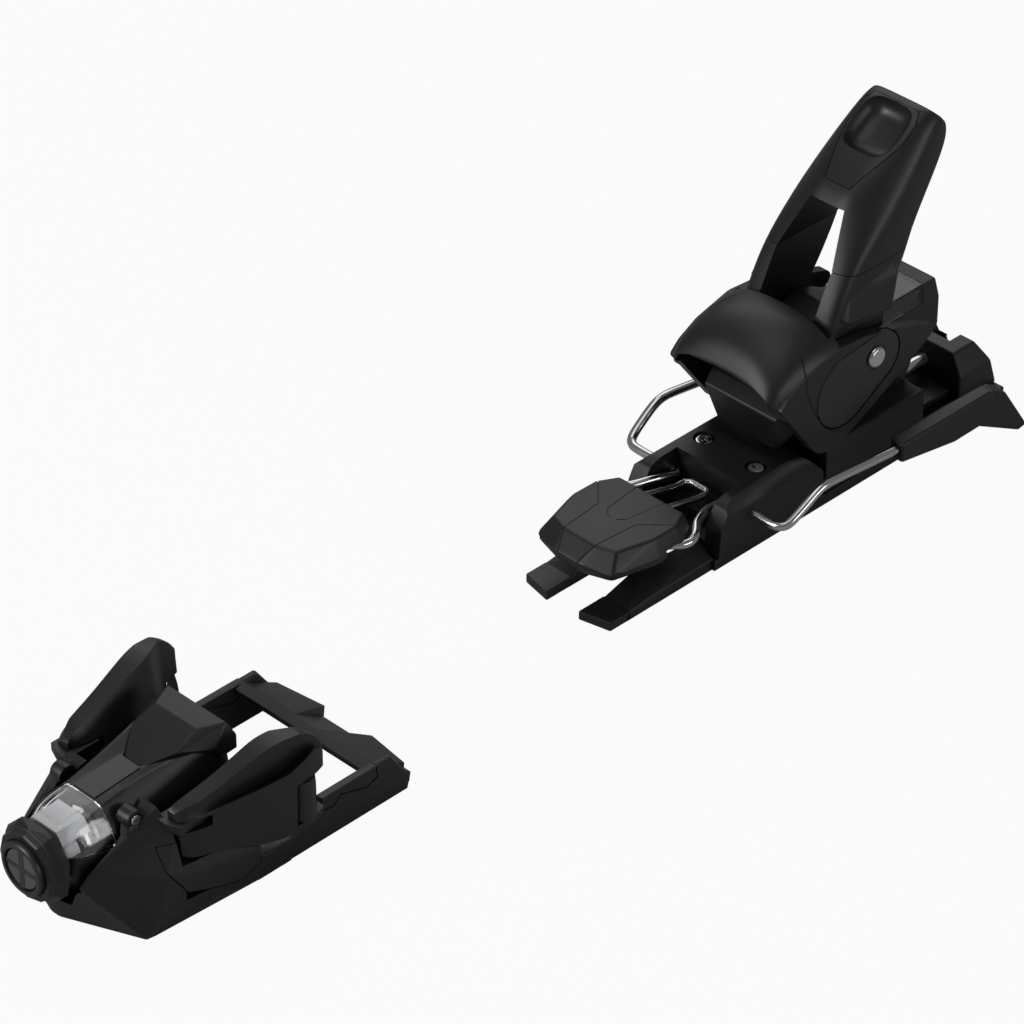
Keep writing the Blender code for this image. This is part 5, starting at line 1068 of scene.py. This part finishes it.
def tower():
    return plate(SIDE_VIEW, "Y", -TOWER, TOWER, 0.0010, 0.0010)


carriage = weld(block((0.3190, -0.0240, PLATE_TOP + SEAT_GAP), (0.3760, 0.0240, 0.0276), 0.0012), tower())
rooms = []
for half, low in ((RAIL_NECK, 0), (RAIL_HEAD, 0.0072)):
    rooms.append(block((0.3, -half - SEAT_GAP, low), (0.4, half + SEAT_GAP, RAIL_TOP + SEAT_GAP)))
rooms.append(axle_bar(AXLE_BORE))
rooms.append(level_bar(0.3, 0.4, WORM_Z, WORM_ROOM))
BORES = ((0.31, 0.3870, 0.0060), (0.3860, 0.41, 0.0028), (BLOCK_END - 0.0037, 0.41, 0.0046))
for start, end, radius in BORES:
    rooms.append(level_bar(start, end, SPRING_Z, radius))
for half, low, high in ((0.03, WINDOW_LOW - SEAT_GAP, 0.08), (0.0045, SPRING_Z, WINDOW_LOW)):
    rooms.append(block((WINDOW_FRONT - SEAT_GAP, -half, low), (WINDOW_REAR + SEAT_GAP, half, high)))
carve(carriage, *rooms)
for side, _ in SIDES:
    seam(carriage, [(0.3520, side * 0.03, 0.0470), (0.3948, side * 0.03, 0.0470)], (0, -side, 0), 0.0003)
settle(carriage, "carriage_moulding", "carriage_body", "black_plastic", "heel_carriage")
clear = keep(tower(), block((WINDOW_FRONT, -0.03, WINDOW_LOW), (WINDOW_REAR, 0.03, 0.08)))
carve(clear, block((WINDOW_FRONT + WINDOW_WALL, -TOWER + WINDOW_WALL, 0.05),
                   (WINDOW_REAR - WINDOW_WALL, TOWER - WINDOW_WALL, BLOCK_TOP - WINDOW_WALL)))
settle(clear, "clear_rear_window", "carriage_body", "clear_plastic", "rear_window")
clear.data.materials[0] = SMOKED

# %% [markdown]
# ## The track and the brake
# A flat track is screwed to the ski, with two prongs that reach forward under the brake pad. The bracket
# behind the pad holds the pivots of the brake's two polished wires, whose plastic feet lie along the
# ski's edges. Flat mouldings come from hulls and plates; a wire is a tube on a smooth curve through the
# bends that were chosen.

# %% Track
SCREW_AT = (0.2893, 0.0137)
TIP, PRONG_IN, PRONG_OUT, PRONG_TOP = 0.1970, 0.0084, 0.0226, 0.0042
PRONG_PLAN = ((0, PRONG_IN), (0.003, PRONG_OUT), (0.014, PRONG_IN), (0.014, PRONG_OUT))
TOE = [(TIP + x, y, z) for z in (0, PRONG_TOP) for x, y in PRONG_PLAN]
SHANK = [(TIP + 0.012, PRONG_IN, 0), (TIP + 0.012, PRONG_OUT, 0), (TIP + 0.012, PRONG_IN, 0.0030),
         (TIP + 0.012, PRONG_OUT, 0.0036), (TIP + 0.030, PRONG_IN + 0.002, 0.0105),
         (TIP + 0.024, PRONG_OUT, 0.0050), (0.2600, PRONG_IN + 0.006, 0.0105), (0.2600, PRONG_OUT, PLATE_TOP),
         (0.2600, PRONG_IN, 0), (0.2600, PRONG_OUT, 0)]
track = block((0.2560, -0.0240, 0), (0.4260, 0.0240, PLATE_TOP), 0.0005)
added = [block((0.3170, -RAIL_NECK, 0.0040), (0.4027, RAIL_NECK, 0.0080)),
         block((0.3170, -RAIL_HEAD, 0.0075), (0.4027, RAIL_HEAD, RAIL_TOP), 0.0004)]
rooms = [block((0.2565, -0.05, PLATE_TOP), (0.3170, 0.05, 0.05))]
for side, _ in SIDES:
    added.append(facets(mirrored(TOE, side), 0.0006))
    added.append(facets(mirrored(SHANK, side), 0.0005))
    rooms.append(upright((SCREW_AT[0], side * SCREW_AT[1]), -0.01, 0.03, 0.0027))
weld(track, *added)
carve(track, *rooms)
settle(track, "ski_track", "binding_base", "black_plastic", "heel_track")

# %% Rear bracket and its screw
STOP = mm((403, 20, 5.3), (426, 20, 5.3), (403, 20, 18), (422, 20, 18), (405, 14, 26), (418, 14, 26))
stop = facets(both(STOP), 0.0010, 3)
carve(stop, block((0.4110, -0.0070, 0.0115), (0.4210, 0.0070, 0.05)),
      level_bar(0.39, 0.412, WORM_Z, WORM_ROOM), level_bar(0.4110, 0.44, WORM_Z, 0.0036))
settle(stop, "rear_stop", "binding_base", "black_plastic", "rear_bracket")
worm = level_bar(0.3250, 0.4123, WORM_Z, 0.0032)
weld(worm, level_bar(0.4113, 0.4158, WORM_Z, 0.0046, rim=0.0006))
carve(worm, block((0.4142, -0.0036, WORM_Z - 0.0006), (0.43, 0.0036, WORM_Z + 0.0006)))
settle(worm, "length_screw", "track_screw_body", "polished_steel", "track_screw")

# %% Brake bracket and its screws
BRACKET = mm((257.2, 5.3), (316.7, 5.3), (316.7, 18.0), (308.0, 27.0), (299.0, 28.5), (268.0, 27.6),
             (262.6, 25.6), (258.4, 18.0))
SHOULDER = ((0.0260, 0.0225), (0.0260, 0.04), (0.0200, 0.04), (0.0200, 0.0287))
PIVOT_X, PIVOT_Z = 0.2750, 0.0190
bracket = plate(BRACKET, "Y", -0.0250, 0.0250, 0.0006, 0.0014)
rooms = [block((0.25, -0.0170, 0.0105), (0.2775, 0.0170, 0.05)),
         block((0.25, -0.0110, 0), (0.2695, 0.0110, 0.05))]
for side, _ in SIDES:
    spot = (SCREW_AT[0], side * SCREW_AT[1])
    rooms.append(plate([(side * y, z) for y, z in SHOULDER], "X", 0.25, 0.33))
    rooms.append(bar((PIVOT_X, side * 0.0120, PIVOT_Z), (PIVOT_X, side * 0.05, PIVOT_Z), 0.0021))
    rooms.append(upright(spot, 0, 0.05, 0.0027))
    rooms.append(upright(spot, 0.0230, 0.05, 0.0044))
carve(bracket, *rooms)
settle(bracket, "pivot_bracket", "binding_base", "black_plastic", "brake_bracket")
for side, word in SIDES:
    x, y = SCREW_AT[0], side * SCREW_AT[1]
    screw = upright((x, y), 0.0008, 0.0243, 0.0024)
    weld(screw, upright((x, y), 0.0233, 0.0276, 0.0041, 0.0034, rim=0.0008))
    arms = ((0.0024, 0.0006), (0.0006, 0.0024))
    carve(screw, *(block((x - a, y - b, 0.0262), (x + a, y + b, 0.03)) for a, b in arms))
    settle(screw, word + "_cross_screw", "binding_base", "polished_steel", word + "_bracket_screw")

# %% Brake pad
PAD_TOP, CEILING, SPRING_LEG = 30.2, 0.0240, 0.0058
BOOT_PAD = mm((206.2, 8.5, PAD_TOP - 0.2), (208.9, 16.8, PAD_TOP - 0.2), (224.7, 21.4, PAD_TOP),
              (237.2, 21.4, PAD_TOP - 0.2), (245.6, 17.0, PAD_TOP - 0.4), (199.2, 7.0, 23.5),
              (203.0, 20.6, 22.0), (224.0, 25.0, 22.5), (238.0, 24.4, 22.5), (247.0, 19.5, 22.5),
              (201.0, 6.0, 18.5), (206.0, 17.0, 17.7), (226.0, 23.0, 18.2), (246.6, 18.0, 19.5))
HOLLOW = ((0.2080, 0.0060), (0.2130, 0.0170), (0.2300, 0.0200), (0.2440, 0.0170))
RIDGE = mm((199.6, 5.0, 30.0), (206.2, 8.2, 30.0), (226.5, 10.0, 30.0), (237.0, 20.4, 30.0),
           (240.0, 23.6, 30.0))
TONGUE = mm((245.0, 7.4, 30.0), (226.4, 5.0, 30.0), (223.6, 2.4, 30.0), (223.2, 0.0, 30.0))
brake_pad = facets(both(BOOT_PAD), 0.0011, 3)
rooms = [facets(both([(x, y, z) for z in (0.0100, CEILING) for x, y in HOLLOW]), 0.0),
         block((0.2420, -0.0130, 0.0100), (0.2600, 0.0130, CEILING))]
for side, _ in SIDES:
    leg_y = side * SPRING_LEG
    rooms.append(block((0.2290, leg_y - 0.0016, 0.0220), (0.2600, leg_y + 0.0016, 0.0282)))
    near, far = span(side, 0.0160, 0.04)
    rooms.append(block((0.2285, near, 0.0100), (0.2500, far, CEILING)))
carve(brake_pad, *rooms)
for side, _ in SIDES:
    seam(brake_pad, mirrored(RIDGE, side), (0, 0, -1), 0.00028)
seam(brake_pad, TONGUE + mirrored(TONGUE[-2::-1], RIGHT), (0, 0, -1), 0.00028)
settle(brake_pad, "boot_pad", "brake_body", "black_plastic", "brake_pad")

# %% Brake wires and feet
WIRE = ((0.2290, 0.0150, 0.0218), (0.2345, 0.0192, 0.0214), (0.2400, 0.0233, 0.0212),
        (0.2460, 0.0225, 0.0213), (0.2525, 0.0176, 0.0218), (0.2600, 0.0148, 0.0218),
        (0.2675, 0.0135, 0.0205), (0.2725, 0.0132, 0.0192), (0.2745, 0.0146, 0.0190),
        (PIVOT_X, 0.0170, PIVOT_Z), (PIVOT_X, 0.0260, PIVOT_Z), (PIVOT_X, 0.0350, PIVOT_Z),
        (0.2758, 0.0392, 0.0193), (0.2785, 0.0415, 0.0206), (0.2850, 0.0424, 0.0246),
        (0.2915, 0.0427, 0.0284), (0.2965, 0.0427, 0.0298), (0.3040, 0.0425, 0.0294),
        (0.3250, 0.0418, 0.0266), (0.3430, 0.0412, 0.0242), (0.3500, 0.0410, 0.0232))
WIRE_END = ((0.3250, 0.0418, 0.0266), (0.3503, 0.0410, 0.0232))
GRIP = mm((340, 37.8, 19.5), (340, 44.6, 19.5), (340, 37.8, 29.0), (340, 44.6, 28.2), (370, 37.8, 16.0),
          (370, 46.2, 15.5), (370, 38.0, 29.0), (370, 44.8, 28.5), (394, 39.0, 29.0), (392, 45.5, 29.0),
          (390, 38.5, 17.0), (390, 47.0, 16.5))
SPADE = mm((384, 38.5, 17.0), (384, 46.8, 16.5), (394, 39.0, 29.0), (392, 45.5, 28.8), (411, 42.0, 7.0),
           (411, 49.0, 6.0), (406, 42.0, 6.0), (406, 49.0, 5.2), (400, 40.0, 26.0), (400, 46.2, 25.0))
for side, word in SIDES:
    wire = tube(eased(mirrored(WIRE, side), 5), 0.0019, 6)
    settle(wire, word + "_bent_wire", "brake_body", "polished_steel", word + "_brake_wire", angle=60)
    foot = weld(facets(mirrored(GRIP, side), 0.0012, 3), facets(mirrored(SPADE, side), 0.0010, 3))
    carve(foot, bar(*mirrored(WIRE_END, side), 0.0022))
    settle(foot, word + "_trailing_foot", "brake_body", "black_plastic", word + "_brake_foot")

# %% Pad spring
BEND, BEND_X = 0.0030, 0.2688
LEG = [(0.2305, SPRING_LEG, 0.0264), (0.2400, SPRING_LEG, 0.0264), (0.2450, SPRING_LEG, 0.0260),
       (0.2560, SPRING_LEG, 0.0232), (0.2640, SPRING_LEG, 0.0212)]
arc = []
for i in range(4):
    a = i * math.pi / 6
    arc.append((BEND_X + BEND * math.sin(a), SPRING_LEG - BEND + BEND * math.cos(a), 0.0207))
bent = LEG + arc
bent += mirrored(reversed(bent), RIGHT)
spring = tube(eased(bent, 4), 0.0013, 5)
settle(spring, "pad_spring", "brake_body", "polished_steel", "brake_spring_wire", angle=60)
print("all pieces:", len(pieces_made))
